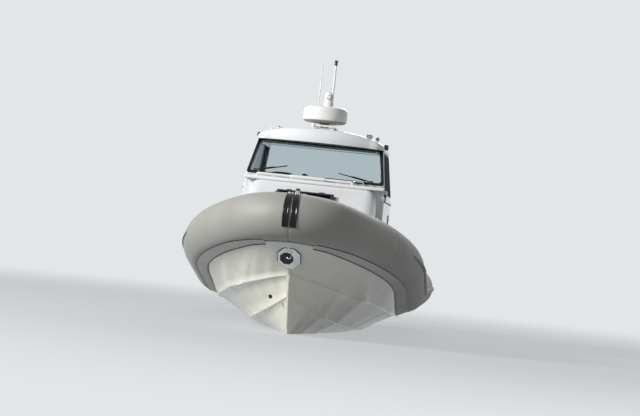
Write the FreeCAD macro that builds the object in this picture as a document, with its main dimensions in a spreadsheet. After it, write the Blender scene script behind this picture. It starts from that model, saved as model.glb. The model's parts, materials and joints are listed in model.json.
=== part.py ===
"""Cabin rigid inflatable boat, 8.4 m: deep-V hull, inflatable collar, wheelhouse and sterndrive.

Frame: +Z up, +X to port, -Y towards the bow, millimetres. The origin lies on the centreline,
on the running waterline, at the after end of the wheelhouse.
"""
import FreeCAD, Part
import math
import os
import Sketcher
from FreeCAD import Placement, Rotation, Vector

doc = FreeCAD.newDocument("CabinBoat")

# Driving dimensions, in millimetres and degrees.
SIZES = [
    # inflatable collar
    ("collar_radius", 270), ("half_beam", 1200), ("nose_radius", 582), ("shoulder_turn", 36),
    ("sheer_angle", 11.2), ("sheer_run", 3869), ("sheer_ease", 3000), ("nose_station", -4600),
    ("nose_height", 1340), ("collar_end", 3150), ("cone_length", 380), ("cone_tip", 120),
    ("fit_gap", 0.4),
    # rubber on the collar
    ("pad_thickness", 9), ("pad_width", 72), ("pad_spacing", 20), ("pad_low_angle", 36),
    ("pad_high_angle", 100), ("strake_thickness", 22), ("strake_half_angle", 8),
    ("strake_start_turn", 71),
    # hull
    ("transom_station", 3000), ("flange_inset", 50), ("flange_gap", 4), ("chine_flat", 46),
    ("rail_flat", 38), ("well_front", -2700), ("well_half_width", 560), ("sole_height", 360),
    ("sole_thickness", 40), ("bay_front", 1560), ("bay_back", 2850), ("bay_half_width", 430),
    ("bay_floor", 30),
    # stem fittings
    ("stem_plate_height", 892), ("stem_plate_radius", 128), ("stem_plate_thickness", 6),
    ("stem_plate_stretch", 1.5), ("eye_radius", 38), ("eye_rod", 8),
    # foredeck
    ("deck_drop", 20), ("deck_back", -1890), ("locker_front", -4150), ("locker_back", -3650),
    ("locker_half_width", 190), ("locker_depth", 190), ("lid_overlap", 35), ("lid_thickness", 24),
    ("post_station", -4240), ("post_height", 330), ("post_radius", 24), ("post_pin_length", 190),
    # wheelhouse
    ("coachroof_front", -3120), ("coachroof_half_width", 830), ("cowl_front", -1980),
    ("cowl_front_height", 1792), ("cowl_height", 1828), ("companion_half_width", 330),
    ("companion_head", 1380), ("door_sill_height", 470), ("shell_thickness", 35), ("cabin_front", -1880),
    ("cabin_back", 0), ("wall_thickness", 40), ("cabin_low_half", 830), ("cabin_half_width", 875),
    ("roof_line_half", 790), ("flare_low", 1167), ("flare_high", 1307), ("belt_height", 1695),
    ("roof_line", 2306), ("screen_base_height", 1838), ("screen_top", -1490), ("screen_thickness", 30),
    ("screen_frame_border", 62), ("glass_thickness", 8), ("glass_lap", 26), ("window_sill", 1795),
    ("window_head", 2255), ("window_front", -1400), ("window_back", -290), ("window_back_low", -140),
    ("wall_top_back", -180), ("hatch_offset", -70), ("hatch_low", -2700), ("hatch_high", -2217),
    ("hatch_half_width", 350), ("hatch_thickness", 22), ("hatch_opening_inset", 45),
    # cockpit and engine
    ("transom_board", 50), ("transom_height", 620), ("coaming_thickness", 36), ("coaming_height", 560),
    ("engine_clearance", 30), ("engine_height", 520), ("engine_box_lap", 30), ("engine_box_height", 440),
    ("cushion_thickness", 60), ("engine_back_gap", 70), ("side_deck_width", 94),
    ("side_deck_height", 640), ("side_deck_bend", -1100),
    # inside the wheelhouse
    ("dash_half_width", 700), ("dash_drop", 18), ("dash_height", 420), ("dash_depth", 530),
    ("helm_station", -420), ("helm_radius", 175), ("helm_rim", 15), ("helm_hub_radius", 36),
    ("helm_hub_length", 44), ("shaft_radius", 16), ("shaft_length", 150), ("shaft_play", 0.05),
    ("helm_lean", 17.53), ("seat_width", 440), ("seat_pitch", 500),
    ("seat_station", -760), ("seat_depth", 430), ("seat_height", 650), ("plinth_height", 520),
    # sterndrive
    ("shield_half", 190), ("shield_low", -40), ("shield_high", 380), ("shield_thickness", 20),
    ("steer_station", 3120), ("tilt_height", 205), ("ring_half", 110), ("ring_depth", 80),
    ("ring_height", 120), ("lug_half", 40), ("lug_thickness", 30), ("lug_clearance", 5),
    ("pin_radius", 15), ("pin_play", 0.05), ("arm_thickness", 35), ("drive_clearance", 6),
    ("drive_front", 3236), ("drive_back", 3400), ("torpedo_height", -330), ("torpedo_radius", 72),
    ("propeller_radius", 168), ("propeller_hub", 62), ("propeller_length", 46), ("propeller_shaft", 16),
    ("blade_thickness", 8), ("blade_pitch", 32),
    # roof gear
    ("radome_station", -1320), ("stalk_setback", 320), ("lamp_inset", 100), ("rail_inset", 240),
    ("rail_rise", 62), ("radome_radius", 279), ("radome_height", 208), ("radome_base", 2587),
    ("pole_top", 3360), ("pole_radius", 14), ("whip_top", 3390), ("whip_radius", 8), ("rail_radius", 14),
    # roof
    ("roof_front", -1700), ("roof_bulge", 150), ("roof_back", -20), ("roof_half_width", 800),
    ("roof_edge_height", 60), ("roof_crown", 190), ("roof_thickness", 42), ("roof_corner", 170),
]

sheet = doc.addObject("Spreadsheet::Sheet", "Sizes")
for row, (alias, value) in enumerate(SIZES, start=1):
    sheet.set("A%d" % row, alias)
    sheet.set("B%d" % row, str(value))
    sheet.setAlias("B%d" % row, alias)
doc.recompute()


class SheetValues:
    """The sheet's cells as attributes, for shapes that are worked out here."""

    def __getattr__(self, alias):
        return float(sheet.get(alias))


size = SheetValues()
NODES = []


def put(node, shape):
    """Adds a sub-part whose shape was worked out here, under its node name."""
    feature = doc.addObject("Part::Feature", node)
    feature.Label = node
    feature.Shape = shape
    NODES.append(feature)
    return feature


tau = math.radians(size.sheer_angle)
ALONG = Vector(0, math.cos(tau), -math.sin(tau))
ABOVE = Vector(0, math.sin(tau), math.cos(tau))
ACROSS = Vector(1, 0, 0)
NOSE = Vector(0, size.nose_station, size.nose_height)
nose_turn = math.radians(90 - size.shoulder_turn)
shoulder_radius = (size.half_beam - size.nose_radius * math.sin(nose_turn)) / (1 - math.sin(nose_turn))
shoulder_x = size.half_beam - shoulder_radius
shoulder_u = size.nose_radius + (shoulder_radius - size.nose_radius) * math.cos(nose_turn)
ease_tangent = size.sheer_ease * math.tan(tau / 2)
aft_height = size.nose_height - size.sheer_run * math.sin(tau)
knuckle = size.nose_station + size.sheer_run * math.cos(tau)


def sheer_point(x, u, lift=0.0):
    """A point of the sloping sheer plane: x to port, u aft along the slope, lift above it."""
    return NOSE + ACROSS * x + ALONG * u + ABOVE * lift


def nose_point(turn, inset=0.0, lift=0.0):
    """A point beside the collar's centreline on the nose arc, at a turn from the stem."""
    reach = size.nose_radius - inset
    return sheer_point(reach * math.sin(turn), size.nose_radius - reach * math.cos(turn), lift)


def shoulder_point(turn, inset=0.0, lift=0.0):
    """The same on the shoulder arc, whose turn runs on to 90 degrees."""
    reach = shoulder_radius - inset
    return sheer_point(shoulder_x + reach * math.sin(turn), shoulder_u - reach * math.cos(turn), lift)


def ease_point(share, inset=0.0, lift=0.0):
    """The same where the slope eases into the level run, at a share of the way through."""
    angle = tau * (1 - share)
    reach = size.sheer_ease - lift
    return Vector(size.half_beam - inset, knuckle + ease_tangent - reach * math.sin(angle),
                  aft_height + size.sheer_ease - reach * math.cos(angle))


def collar_path(start_turn, back, inset=0.0, lift=0.0):
    """The collar's port centreline, or a line beside it, from a turn at the bow back to a station."""
    quarter = math.pi / 2

    def arc(point, first, last):
        return Part.Arc(*[point(amount, inset, lift) for amount in (first, (first + last) / 2, last)])

    edges = []
    if start_turn < nose_turn:
        edges.append(arc(nose_point, start_turn, nose_turn))
    if start_turn < quarter:
        edges.append(arc(shoulder_point, max(start_turn, nose_turn), quarter))
    slope_start = sheer_point(size.half_beam - inset, shoulder_u, lift)
    edges.append(Part.LineSegment(slope_start, ease_point(0, inset, lift)))
    edges.append(arc(ease_point, 0, 1))
    stern = Vector(size.half_beam - inset, back, aft_height + lift)
    edges.append(Part.LineSegment(ease_point(1, inset, lift), stern))
    return Part.Wire([edge.toShape() for edge in edges])


def mirrored(shape):
    """The starboard copy of a port shape."""
    return shape.mirror(Vector(0, 0, 0), Vector(1, 0, 0))


def sector(centre, outward, upward, inner, outer, low, high):
    """A face between two arcs about a centre, from a low to a high angle in degrees."""
    def at(radius, degrees):
        angle = math.radians(degrees)
        return centre + outward * (radius * math.cos(angle)) + upward * (radius * math.sin(angle))
    middle = (low + high) / 2
    edges = [Part.Arc(at(inner, low), at(inner, middle), at(inner, high)).toShape(),
             Part.LineSegment(at(inner, high), at(outer, high)).toShape(),
             Part.Arc(at(outer, high), at(outer, middle), at(outer, low)).toShape(),
             Part.LineSegment(at(outer, low), at(inner, low)).toShape()]
    return Part.Face(Part.Wire(edges))


# Inflatable collar: one chamber each side of the stem seam, with a cone at the stern.
collar_circle = Part.Wire(Part.Circle(NOSE, ACROSS, size.collar_radius).toShape())
port_collar = collar_path(0.0, size.collar_end).makePipeShell([collar_circle], True, False)
cone = Part.makeCone(size.collar_radius, size.cone_tip, size.cone_length,
                     Vector(size.half_beam, size.collar_end, aft_height), Vector(0, 1, 0))
port_collar = port_collar.fuse(cone).removeSplitter()
put("collar_port", port_collar)
put("collar_starboard", mirrored(port_collar))


def skin(sections):
    """A solid between its port and starboard sides, from sections of port points, all with x above 0."""
    def other(point):
        return Vector(-point.x, point.y, point.z)

    def flat(*corners):
        return Part.Face(Part.makePolygon(list(corners) + [corners[0]]))

    def patch(a, b, c, d):
        return Part.makeRuledSurface(Part.LineSegment(a, b).toShape(), Part.LineSegment(c, d).toShape())

    faces = []
    for near, far in zip(sections, sections[1:]):
        for low in range(len(near) - 1):
            faces.append(patch(near[low], near[low + 1], far[low], far[low + 1]))
            faces.append(patch(other(near[low]), other(near[low + 1]), other(far[low]), other(far[low + 1])))
        faces.append(flat(near[0], far[0], other(far[0]), other(near[0])))
        faces.append(flat(near[-1], far[-1], other(far[-1]), other(near[-1])))
    for end in (sections[0], sections[-1]):
        for low in range(len(end) - 1):
            faces.append(flat(end[low], end[low + 1], other(end[low + 1]), other(end[low])))
    shell = Part.makeShell(faces)
    shell.sewShape()
    solid = Part.Solid(shell.Shells[0] if shell.ShapeType != "Shell" else shell)
    if solid.Volume < 0:
        solid.reverse()
    return solid


# Hull: raked sections from the stem aft. Each row gives the place of the flange on the collar, then
# the chine, the lower spray rail and the keel as distances aft of the nose, heights and half-widths.
flange_lift = -math.sqrt((size.collar_radius + size.fit_gap) ** 2 - size.flange_inset ** 2) - size.flange_gap
STEM_HALF = 12
level_aft = knuckle + ease_tangent - size.nose_station
transom_aft = size.transom_station - size.nose_station
HULL_ROWS = [
    # flange,        chine x, aft, z,        rail x, aft, z,        keel aft, z,   flat share
    ("nose", 1.2, STEM_HALF, 470, 690, STEM_HALF, 640, 440, 930, 110, 0.16),
    ("nose", 22, 210, 640, 640, 138, 900, 350, 1080, 0, 0.45),
    ("nose", 42, 405, 900, 578, 258, 1180, 268, 1280, -70, 0.75),
    ("nose", 54, 535, 1110, 535, 335, 1400, 222, 1460, -108, 0.88),
    ("shoulder", 66, 790, 1720, 450, 480, 1960, 145, 2000, -145, 1.0),
    ("shoulder", 78, 965, 2560, 365, 590, 2680, 92, 2720, -150, 1.0),
    ("sheer", 2900, 1045, 3050, 305, 640, 3120, 60, 3120, -150, 1.0),
    ("ease", 0.0, 1072, 3560, 272, 658, 3580, 45, 3580, -150, 1.0),
    ("ease", 1.0, 1085, level_aft, 256, 668, level_aft, 35, level_aft, -150, 1.0),
    ("level", 5800, 1090, 5800, 249, 672, 5800, 29, 5800, -150, 1.0),
    ("level", transom_aft, 1090, transom_aft, 242, 672, transom_aft, 25, transom_aft, -150, 1.0),
]


def rim_point(kind, amount, inset, lift):
    """A point beside the port collar: inset towards the boat's inside, lifted square to the sheer."""
    if kind == "nose":
        return nose_point(math.radians(amount), inset, lift)
    if kind == "shoulder":
        return shoulder_point(math.radians(amount), inset, lift)
    if kind == "sheer":
        return sheer_point(size.half_beam - inset, amount, lift)
    if kind == "ease":
        return ease_point(amount, inset, lift)
    return Vector(size.half_beam - inset, size.nose_station + amount, aft_height + lift)


def hull_section(row):
    """The port points of one raked hull section, from the keel up to the flange."""
    kind, amount, chine_x, chine_aft, chine_z, rail_x, rail_aft, rail_z, keel_aft, keel_z, share = row
    start = size.nose_station
    rail_flat = size.rail_flat * share
    chine_flat = size.chine_flat * share
    return [
        Vector(STEM_HALF, start + keel_aft, keel_z),
        Vector(rail_x, start + rail_aft, rail_z),
        Vector(rail_x + rail_flat, start + rail_aft, rail_z - 0.1 * rail_flat),
        Vector(rail_x + rail_flat * 0.92, start + rail_aft, rail_z + 0.42 * rail_flat),
        Vector(chine_x, start + chine_aft, chine_z),
        Vector(chine_x + chine_flat, start + chine_aft, chine_z - 0.1 * chine_flat),
        Vector(chine_x + chine_flat * 0.92, start + chine_aft, chine_z + 0.45 * chine_flat),
        rim_point(kind, amount, size.flange_inset, flange_lift),
    ]


def faired(sections, steps):
    """The hull's sections with more between them, on smooth curves and with their rims on the flange line."""
    def between(before, start, end, after, share):
        into, out = (start - before).Length ** 0.5, (after - end).Length ** 0.5
        span = (end - start).Length ** 0.5
        leave = reach = end - start
        if into > 1:
            leave = (end - before) * (span / (into + span)) - (start - before) * (span / into) + (end - start)
        if out > 1:
            reach = (after - start) * (span / (out + span)) - (after - end) * (span / out) + (end - start)
        square, cube = share * share, share ** 3
        return (start * (2 * cube - 3 * square + 1) + leave * (cube - 2 * square + share)
                + end * (3 * square - 2 * cube) + reach * (cube - square))

    rim = collar_path(0.0, size.transom_station, size.flange_inset, flange_lift)
    rows = []
    for index in range(len(sections) - 1):
        before = sections[max(index - 1, 0)]
        after = sections[min(index + 2, len(sections) - 1)]
        near, far = sections[index], sections[index + 1]
        rows.append(near)
        for step in range(1, steps):
            row = [between(*corners, step / steps) for corners in zip(before, near, far, after)]
            row[-1] = rim.distToShape(Part.Vertex(row[-1]))[1][0][0]
            rows.append(row)
    return rows + [sections[-1]]


hull_shape = skin(faired([hull_section(row) for row in HULL_ROWS], 2))

# Foredeck: fills the space between the collar's inner faces, from the flange up to the deck.
EASE_STEPS = 3
clear_radius = (size.collar_radius + size.fit_gap) / math.cos(math.radians(12.5))
deck_low_angle = math.acos((-flange_lift - size.fit_gap) / clear_radius)
deck_high_angle = math.acos(size.deck_drop / clear_radius)
deck_end = (size.deck_back - size.nose_station) / math.cos(tau)
DECK_ROWS = [("nose", 1.2), ("nose", 18), ("nose", 36), ("nose", 54), ("shoulder", 62), ("shoulder", 70),
             ("shoulder", 80), ("shoulder", 90), ("sheer", deck_end)]


def deck_section(kind, amount):
    """The port points of one deck section, round the collar's inner face."""
    points = []
    for step in range(EASE_STEPS + 1):
        angle = deck_low_angle + (deck_high_angle - deck_low_angle) * step / EASE_STEPS
        inset, lift = clear_radius * math.sin(angle), -clear_radius * math.cos(angle)
        points.append(rim_point(kind, amount, inset, lift))
    return points


deck_shape = skin([deck_section(kind, amount) for kind, amount in DECK_ROWS])
HIGH = 3000
well = Part.makeBox(2 * size.well_half_width, size.transom_station - size.well_front + HIGH, HIGH,
                    Vector(-size.well_half_width, size.well_front, size.sole_height - size.sole_thickness))
cabin_half = size.cabin_low_half + size.fit_gap
cabin_well = Part.makeBox(2 * cabin_half, size.transom_station - size.cabin_front + HIGH, HIGH,
                          Vector(-cabin_half, size.cabin_front - size.fit_gap,
                                 size.sole_height - size.sole_thickness))
bay = Part.makeBox(2 * size.bay_half_width, size.bay_back - size.bay_front, HIGH,
                   Vector(-size.bay_half_width, size.bay_front, size.bay_floor))


def sheer_box(half_width, front, back, low, high):
    """A box lying in the sloping sheer plane, from one station to another and between two lifts."""
    length = (back - front) / math.cos(tau)
    block = Part.makeBox(2 * half_width, length, high - low, Vector(-half_width, 0, 0))
    corner = sheer_point(0, (front - size.nose_station) / math.cos(tau), low)
    block.Placement = Placement(corner, Rotation(ACROSS, -size.sheer_angle))
    return block


locker = sheer_box(size.locker_half_width, size.locker_front, size.locker_back,
                   -size.deck_drop - size.locker_depth, HIGH)
put("hull", hull_shape.cut(well).cut(cabin_well).cut(bay))
put("foredeck", deck_shape.cut(well).cut(locker))


# Coachroof: a hollow moulding on the foredeck that rises to the foot of the windscreen.
def deck_height(station):
    """The height of the foredeck's surface at a station."""
    return size.nose_height - (station - size.nose_station) * math.tan(tau) - size.deck_drop / math.cos(tau)


coachroof_foot = deck_height(size.coachroof_front) + 55
COACHROOF_ROWS = [
    # share of the length, share of the half-width
    (0.00, 0.58), (0.05, 0.75), (0.17, 0.89), (0.42, 0.97), (0.75, 1.00), (1.00, 1.00),
]


def coachroof_sections(inset, drop):
    """The coachroof's sections, inset from its outside and with the foot moved down."""
    rows = []
    run = size.cowl_front - size.coachroof_front
    stations = [(size.coachroof_front + share * run, width) for share, width in COACHROOF_ROWS]
    stations.append((size.cabin_front, 1.0))
    for station, share in stations:
        along = min(1.0, (station - size.coachroof_front) / run)
        top = coachroof_foot + (size.cowl_front_height - coachroof_foot) * along
        if station > size.cowl_front:
            top = size.cowl_height
        foot = deck_height(station) + size.fit_gap
        rise = top - foot
        half = size.coachroof_half_width * share
        if inset:
            station = max(station, size.coachroof_front + 2.2 * inset)
        rows.append([
            Vector(half - inset, station, foot - drop),
            Vector(half - 0.02 * rise - inset, station, foot + 0.6 * rise),
            Vector(half - 0.07 * rise - inset, station, foot + 0.85 * rise - 0.5 * inset),
            Vector(half - 0.20 * rise - inset, station, top - 1.2 * inset)])
    return rows


coachroof_outer = skin(coachroof_sections(0, 0))
inner_rows = coachroof_sections(size.shell_thickness, 40)[2:]
inner_rows.append([point + Vector(0, 60, 0) for point in inner_rows[-1]])
coachroof = coachroof_outer.cut(skin(inner_rows))
slope_rise, slope_run = size.cowl_front_height - coachroof_foot, size.cowl_front - size.coachroof_front
slope_angle = math.degrees(math.atan2(slope_rise, slope_run))
hatch_length = (size.hatch_high - size.hatch_low) / math.cos(math.radians(slope_angle))
hatch_foot = coachroof_foot + (size.hatch_low - size.coachroof_front) * math.tan(math.radians(slope_angle))
hatch_hole = Part.makeBox(2 * (size.hatch_half_width - size.hatch_opening_inset),
                          hatch_length - 2 * size.hatch_opening_inset, 400,
                          Vector(size.hatch_opening_inset - size.hatch_half_width,
                                 size.hatch_opening_inset, -200))
hatch_corner = Vector(size.hatch_offset, size.hatch_low, hatch_foot)
hatch_hole.Placement = Placement(hatch_corner, Rotation(ACROSS, slope_angle))
put("coachroof", coachroof.cut(hatch_hole))


def bind(item, **expressions):
    """Sets properties of an object to expressions over the sheet."""
    for name, expression in expressions.items():
        item.setExpression(name, expression)


def origin_plane(body, role):
    """One of the body's own origin planes."""
    return next(plane for plane in body.Origin.OriginFeatures if plane.Role == role)


def outline_sketch(body, name, role, corners):
    """A closed polygon on an origin plane, each corner held at a pair of expressions."""
    sketch = body.newObject("Sketcher::SketchObject", name)
    sketch.AttachmentSupport = (origin_plane(body, role), [""])
    sketch.MapMode = "FlatFace"
    count = len(corners)
    spots = [Vector(100 * math.cos(math.tau * k / count), 100 * math.sin(math.tau * k / count), 0)
             for k in range(count)]
    for k in range(count):
        sketch.addGeometry(Part.LineSegment(spots[k], spots[(k + 1) % count]))
    for k in range(count):
        sketch.addConstraint(Sketcher.Constraint("Coincident", k, 2, (k + 1) % count, 1))
    for k, (across, up) in enumerate(corners):
        for kind, place, expression in (("DistanceX", spots[k].x, across), ("DistanceY", spots[k].y, up)):
            index = sketch.addConstraint(Sketcher.Constraint(kind, -1, 1, k, 1, place))
            sketch.setExpression("Constraints[%d]" % index, expression)
    return sketch


def new_body(node, placement=None):
    """An empty body under its node name."""
    body = doc.addObject("PartDesign::Body", node)
    body.Label = node
    if placement is not None:
        body.Placement = placement
    NODES.append(body)
    return body


def pad(body, sketch, length, backwards=False):
    """Pads a sketch by an expression."""
    feature = body.newObject("PartDesign::Pad", body.Name + "_pad")
    feature.Profile = sketch
    bind(feature, Length=length)
    feature.Reversed = backwards
    return feature


def pocket_through(body, sketch, tag):
    """Cuts a sketch right through the body, both ways."""
    feature = body.newObject("PartDesign::Pocket", body.Name + tag)
    feature.Profile = sketch
    feature.Type = "ThroughAll"
    feature.Midplane = True
    return feature


def rectangle(left, right, low, high):
    """The corners of a rectangle from four expressions."""
    return [(left, low), (right, low), (right, high), (left, high)]


def mirror_node(node, source):
    """The starboard copy of a port sub-part, as a mirroring object."""
    twin = doc.addObject("Part::Mirroring", node)
    twin.Label = node
    twin.Source = source
    twin.Normal = (1, 0, 0)
    NODES.append(twin)
    return twin


def box(node, x, y, z, wide, deep, tall, centred=True):
    """A box from expressions; x is its middle when centred."""
    item = doc.addObject("Part::Box", node)
    item.Label = node
    bind(item, Length=wide, Width=deep, Height=tall)
    across = "%s - (%s) / 2" % (x, wide) if centred else x
    for axis, expression in zip("xyz", (across, y, z)):
        item.setExpression("Placement.Base." + axis, expression)
    NODES.append(item)
    return item


def blank(kind, name, base, turned=Rotation(), **expressions):
    """A primitive that is only a step towards a sub-part."""
    item = doc.addObject("Part::" + kind, name)
    bind(item, **expressions)
    item.Placement = Placement(base, turned)
    return item


def joined(node, pieces):
    """A sub-part made of several touching objects."""
    item = doc.addObject("Part::MultiFuse", node)
    item.Shapes = pieces
    item.Label = node
    NODES.append(item)
    return item


def drilled(node, base, tools):
    """A sub-part cut by other objects."""
    for number, tool in enumerate(tools, start=1):
        cut = doc.addObject("Part::Cut", node if number == len(tools) else "%s_cut_%d" % (node, number))
        cut.Base, cut.Tool = base, tool
        base = cut
    base.Label = node
    NODES.append(base)
    return base


# Wheelhouse sides, cut from one section and pierced by a window each.
RAKE = "(Sizes.screen_top - Sizes.cabin_front) / (Sizes.roof_line - Sizes.screen_base_height)"
WALL_IN = "Sizes.wall_thickness"
SOLE_TOP = "Sizes.sole_height + Sizes.fit_gap"
wall_outline = [
    ("Sizes.cabin_low_half", SOLE_TOP), ("Sizes.cabin_low_half", "Sizes.flare_low"),
    ("Sizes.cabin_half_width", "Sizes.flare_high"), ("Sizes.cabin_half_width", "Sizes.belt_height"),
    ("Sizes.roof_line_half", "Sizes.roof_line"),
    ("Sizes.roof_line_half - " + WALL_IN, "Sizes.roof_line"),
    ("Sizes.cabin_half_width - " + WALL_IN, "Sizes.belt_height"),
    ("Sizes.cabin_half_width - " + WALL_IN, "Sizes.flare_high"),
    ("Sizes.cabin_low_half - " + WALL_IN, "Sizes.flare_low"), ("Sizes.cabin_low_half - " + WALL_IN, SOLE_TOP),
]
WINDOW_OUTLINE = [
    ("Sizes.window_front - (Sizes.window_head - Sizes.window_sill) * %s" % RAKE, "Sizes.window_sill"),
    ("Sizes.window_back_low", "Sizes.window_sill"), ("Sizes.window_back", "Sizes.window_head"),
    ("Sizes.window_front", "Sizes.window_head")]
wall = new_body("cabin_side_port", Placement(Vector(0, size.cabin_back, 0), Rotation()))
wall_section = outline_sketch(wall, "wall_section", "XZ_Plane", wall_outline)
pad(wall, wall_section, "Sizes.cabin_back - Sizes.cabin_front")
BACK = " - Sizes.cabin_back"
window_corners = [(y + BACK, z) for y, z in WINDOW_OUTLINE]
pocket_through(wall, outline_sketch(wall, "wall_window", "YZ_Plane", window_corners), "_window")
rake_cut = outline_sketch(wall, "wall_rake", "YZ_Plane", [
    ("Sizes.cabin_front - Sizes.cabin_back - 9", "Sizes.screen_base_height"),
    ("Sizes.cabin_front - Sizes.cabin_back", "Sizes.screen_base_height"),
    ("Sizes.screen_top - Sizes.cabin_back", "Sizes.roof_line"),
    ("Sizes.screen_top - Sizes.cabin_back", "Sizes.roof_line + 9"),
    ("Sizes.cabin_front - Sizes.cabin_back - 9", "Sizes.roof_line + 9")])
pocket_through(wall, rake_cut, "_rake")
TOP_BACK = "Sizes.wall_top_back - Sizes.cabin_back"
back_cut = outline_sketch(wall, "wall_back", "YZ_Plane", [
    ("9", "Sizes.belt_height"), ("9", "Sizes.roof_line + 9"), (TOP_BACK, "Sizes.roof_line + 9"),
    (TOP_BACK, "Sizes.roof_line"), ("0", "Sizes.belt_height")])
pocket_through(wall, back_cut, "_back")
mirror_node("cabin_side_starboard", wall)

# Side glass, bonded over each opening on the sloping upper wall.
wall_rise = size.roof_line - size.belt_height
wall_lean = math.degrees(math.atan2(size.cabin_half_width - size.roof_line_half, wall_rise))
LEAN = "cos(%f)" % wall_lean


def up_wall(height):
    """A height as a distance up the sloping wall from the belt line."""
    return "(%s - Sizes.belt_height) / %s" % (height, LEAN)


def side_glass(node, corners):
    """A pane on the port wall's outside, lapping its opening all round."""
    belt = Vector(size.cabin_half_width + size.fit_gap, 0, size.belt_height)
    body = new_body(node, Placement(belt, Rotation(Vector(0, 1, 0), -wall_lean)))
    signs = [(-1, -1), (1, -1), (1, 1), (-1, 1)]
    grown = [("%s + (%d) * Sizes.glass_lap" % (y, sy), "%s + (%d) * Sizes.glass_lap" % (up_wall(z), sz))
             for (y, z), (sy, sz) in zip(corners, signs)]
    pad(body, outline_sketch(body, node + "_outline", "YZ_Plane", grown), "Sizes.glass_thickness")
    return body


mirror_node("side_glass_starboard", side_glass("side_glass_port", WINDOW_OUTLINE))

# Windscreen: one wide pane in a frame between the coachroof and the roof.
screen_rise = size.roof_line - size.screen_base_height
screen_run = size.screen_top - size.cabin_front
screen_tilt = math.degrees(math.atan2(screen_rise, screen_run))
screen_height = math.hypot(screen_rise, screen_run)
SCREEN_LOW = ("(Sizes.cabin_half_width - (Sizes.cabin_half_width - Sizes.roof_line_half)"
              " * (Sizes.screen_base_height - Sizes.belt_height) / (Sizes.roof_line - Sizes.belt_height))")
SCREEN_HIGH = "Sizes.roof_line_half"
SLOPE = "%f" % (screen_height - size.fit_gap - size.screen_thickness / math.tan(math.radians(screen_tilt)))


def screen_corners(border):
    """The windscreen's outline, moved in by an expression."""
    return [("-(%s - %s)" % (SCREEN_LOW, border), border), ("%s - %s" % (SCREEN_LOW, border), border),
            ("%s - %s" % (SCREEN_HIGH, border), "%s - %s" % (SLOPE, border)),
            ("-(%s - %s)" % (SCREEN_HIGH, border), "%s - %s" % (SLOPE, border))]


screen_base = Vector(0, size.cabin_front, size.screen_base_height + size.fit_gap)
screen_place = Placement(screen_base + Vector(0, -size.fit_gap, 0), Rotation(ACROSS, screen_tilt))
frame = new_body("windscreen_frame", screen_place)
pad(frame, outline_sketch(frame, "frame_outer", "XY_Plane", screen_corners("0")), "Sizes.screen_thickness")
inner_corners = screen_corners("Sizes.screen_frame_border")
pocket_through(frame, outline_sketch(frame, "frame_inner", "XY_Plane", inner_corners), "_opening")
front_of_frame = screen_place.multVec(Vector(0, 0, size.screen_thickness + size.fit_gap))
glass = new_body("windscreen_glass", Placement(front_of_frame, Rotation(ACROSS, screen_tilt)))
glass_corners = screen_corners("(Sizes.screen_frame_border - Sizes.glass_lap)")
pad(glass, outline_sketch(glass, "glass_outline", "XY_Plane", glass_corners), "Sizes.glass_thickness")

# Bulkhead between the sides, with the way to the forepeak. The wheelhouse is open aft.
INSIDE = " - Sizes.wall_thickness - Sizes.fit_gap"


def bulkhead_corners(top_half, top):
    """A bulkhead's outline inside the walls, up to a height."""
    port = [("Sizes.cabin_low_half" + INSIDE, SOLE_TOP), ("Sizes.cabin_low_half" + INSIDE, "Sizes.flare_low"),
            ("Sizes.cabin_half_width" + INSIDE, "Sizes.flare_high"),
            ("Sizes.cabin_half_width" + INSIDE, "Sizes.belt_height"), (top_half + INSIDE, top)]
    return port + [("-(%s)" % x, z) for x, z in reversed(port)]


front_bulkhead = new_body("bulkhead_front",
                          Placement(Vector(0, size.cabin_front + size.wall_thickness, 0), Rotation()))
front_corners = bulkhead_corners(SCREEN_LOW, "Sizes.screen_base_height")
pad(front_bulkhead, outline_sketch(front_bulkhead, "front_outline", "XZ_Plane", front_corners),
    "Sizes.wall_thickness")
WAY_X = "Sizes.companion_half_width"
way_corners = rectangle("-" + WAY_X, WAY_X, "Sizes.door_sill_height", "Sizes.companion_head")
pocket_through(front_bulkhead, outline_sketch(front_bulkhead, "companionway", "XZ_Plane", way_corners), "_way")

# Cockpit and cabin sole: one floor from the forepeak to the transom.
sole_low = size.sole_height - size.sole_thickness + size.fit_gap
sole = new_body("sole", Placement(Vector(0, 0, sole_low), Rotation()))
WELL_IN = "(Sizes.well_half_width - Sizes.fit_gap)"
LOW_IN = "(Sizes.cabin_low_half - Sizes.fit_gap)"
BOARD_FRONT = "(Sizes.transom_station - Sizes.transom_board - Sizes.fit_gap)"
port_edge = [(WELL_IN, "Sizes.well_front + Sizes.fit_gap"), (WELL_IN, "Sizes.cabin_front"),
             (LOW_IN, "Sizes.cabin_front"), (LOW_IN, BOARD_FRONT)]
pad(sole, outline_sketch(sole, "sole_outline", "XY_Plane",
                         port_edge + [("-" + x, y) for x, y in reversed(port_edge)]),
    "Sizes.sole_thickness - Sizes.fit_gap")
BAY_X = "Sizes.bay_half_width"
pocket_through(sole, outline_sketch(sole, "sole_bay", "XY_Plane", rectangle(
    "-" + BAY_X, BAY_X, "Sizes.bay_front", "Sizes.bay_back")), "_bay")
BOARD_LOW = "Sizes.sole_height - Sizes.sole_thickness + Sizes.fit_gap"
box("transom_board", "0", "Sizes.transom_station - Sizes.transom_board", BOARD_LOW,
    "2 * " + LOW_IN, "Sizes.transom_board", "Sizes.transom_height")
coaming = box("coaming_port", "Sizes.cabin_low_half - Sizes.coaming_thickness",
              "Sizes.cabin_back + Sizes.fit_gap", SOLE_TOP, "Sizes.coaming_thickness - Sizes.fit_gap",
              "%s - Sizes.cabin_back - 2 * Sizes.fit_gap" % BOARD_FRONT,
              "Sizes.coaming_height", centred=False)
mirror_node("coaming_starboard", coaming)

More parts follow.
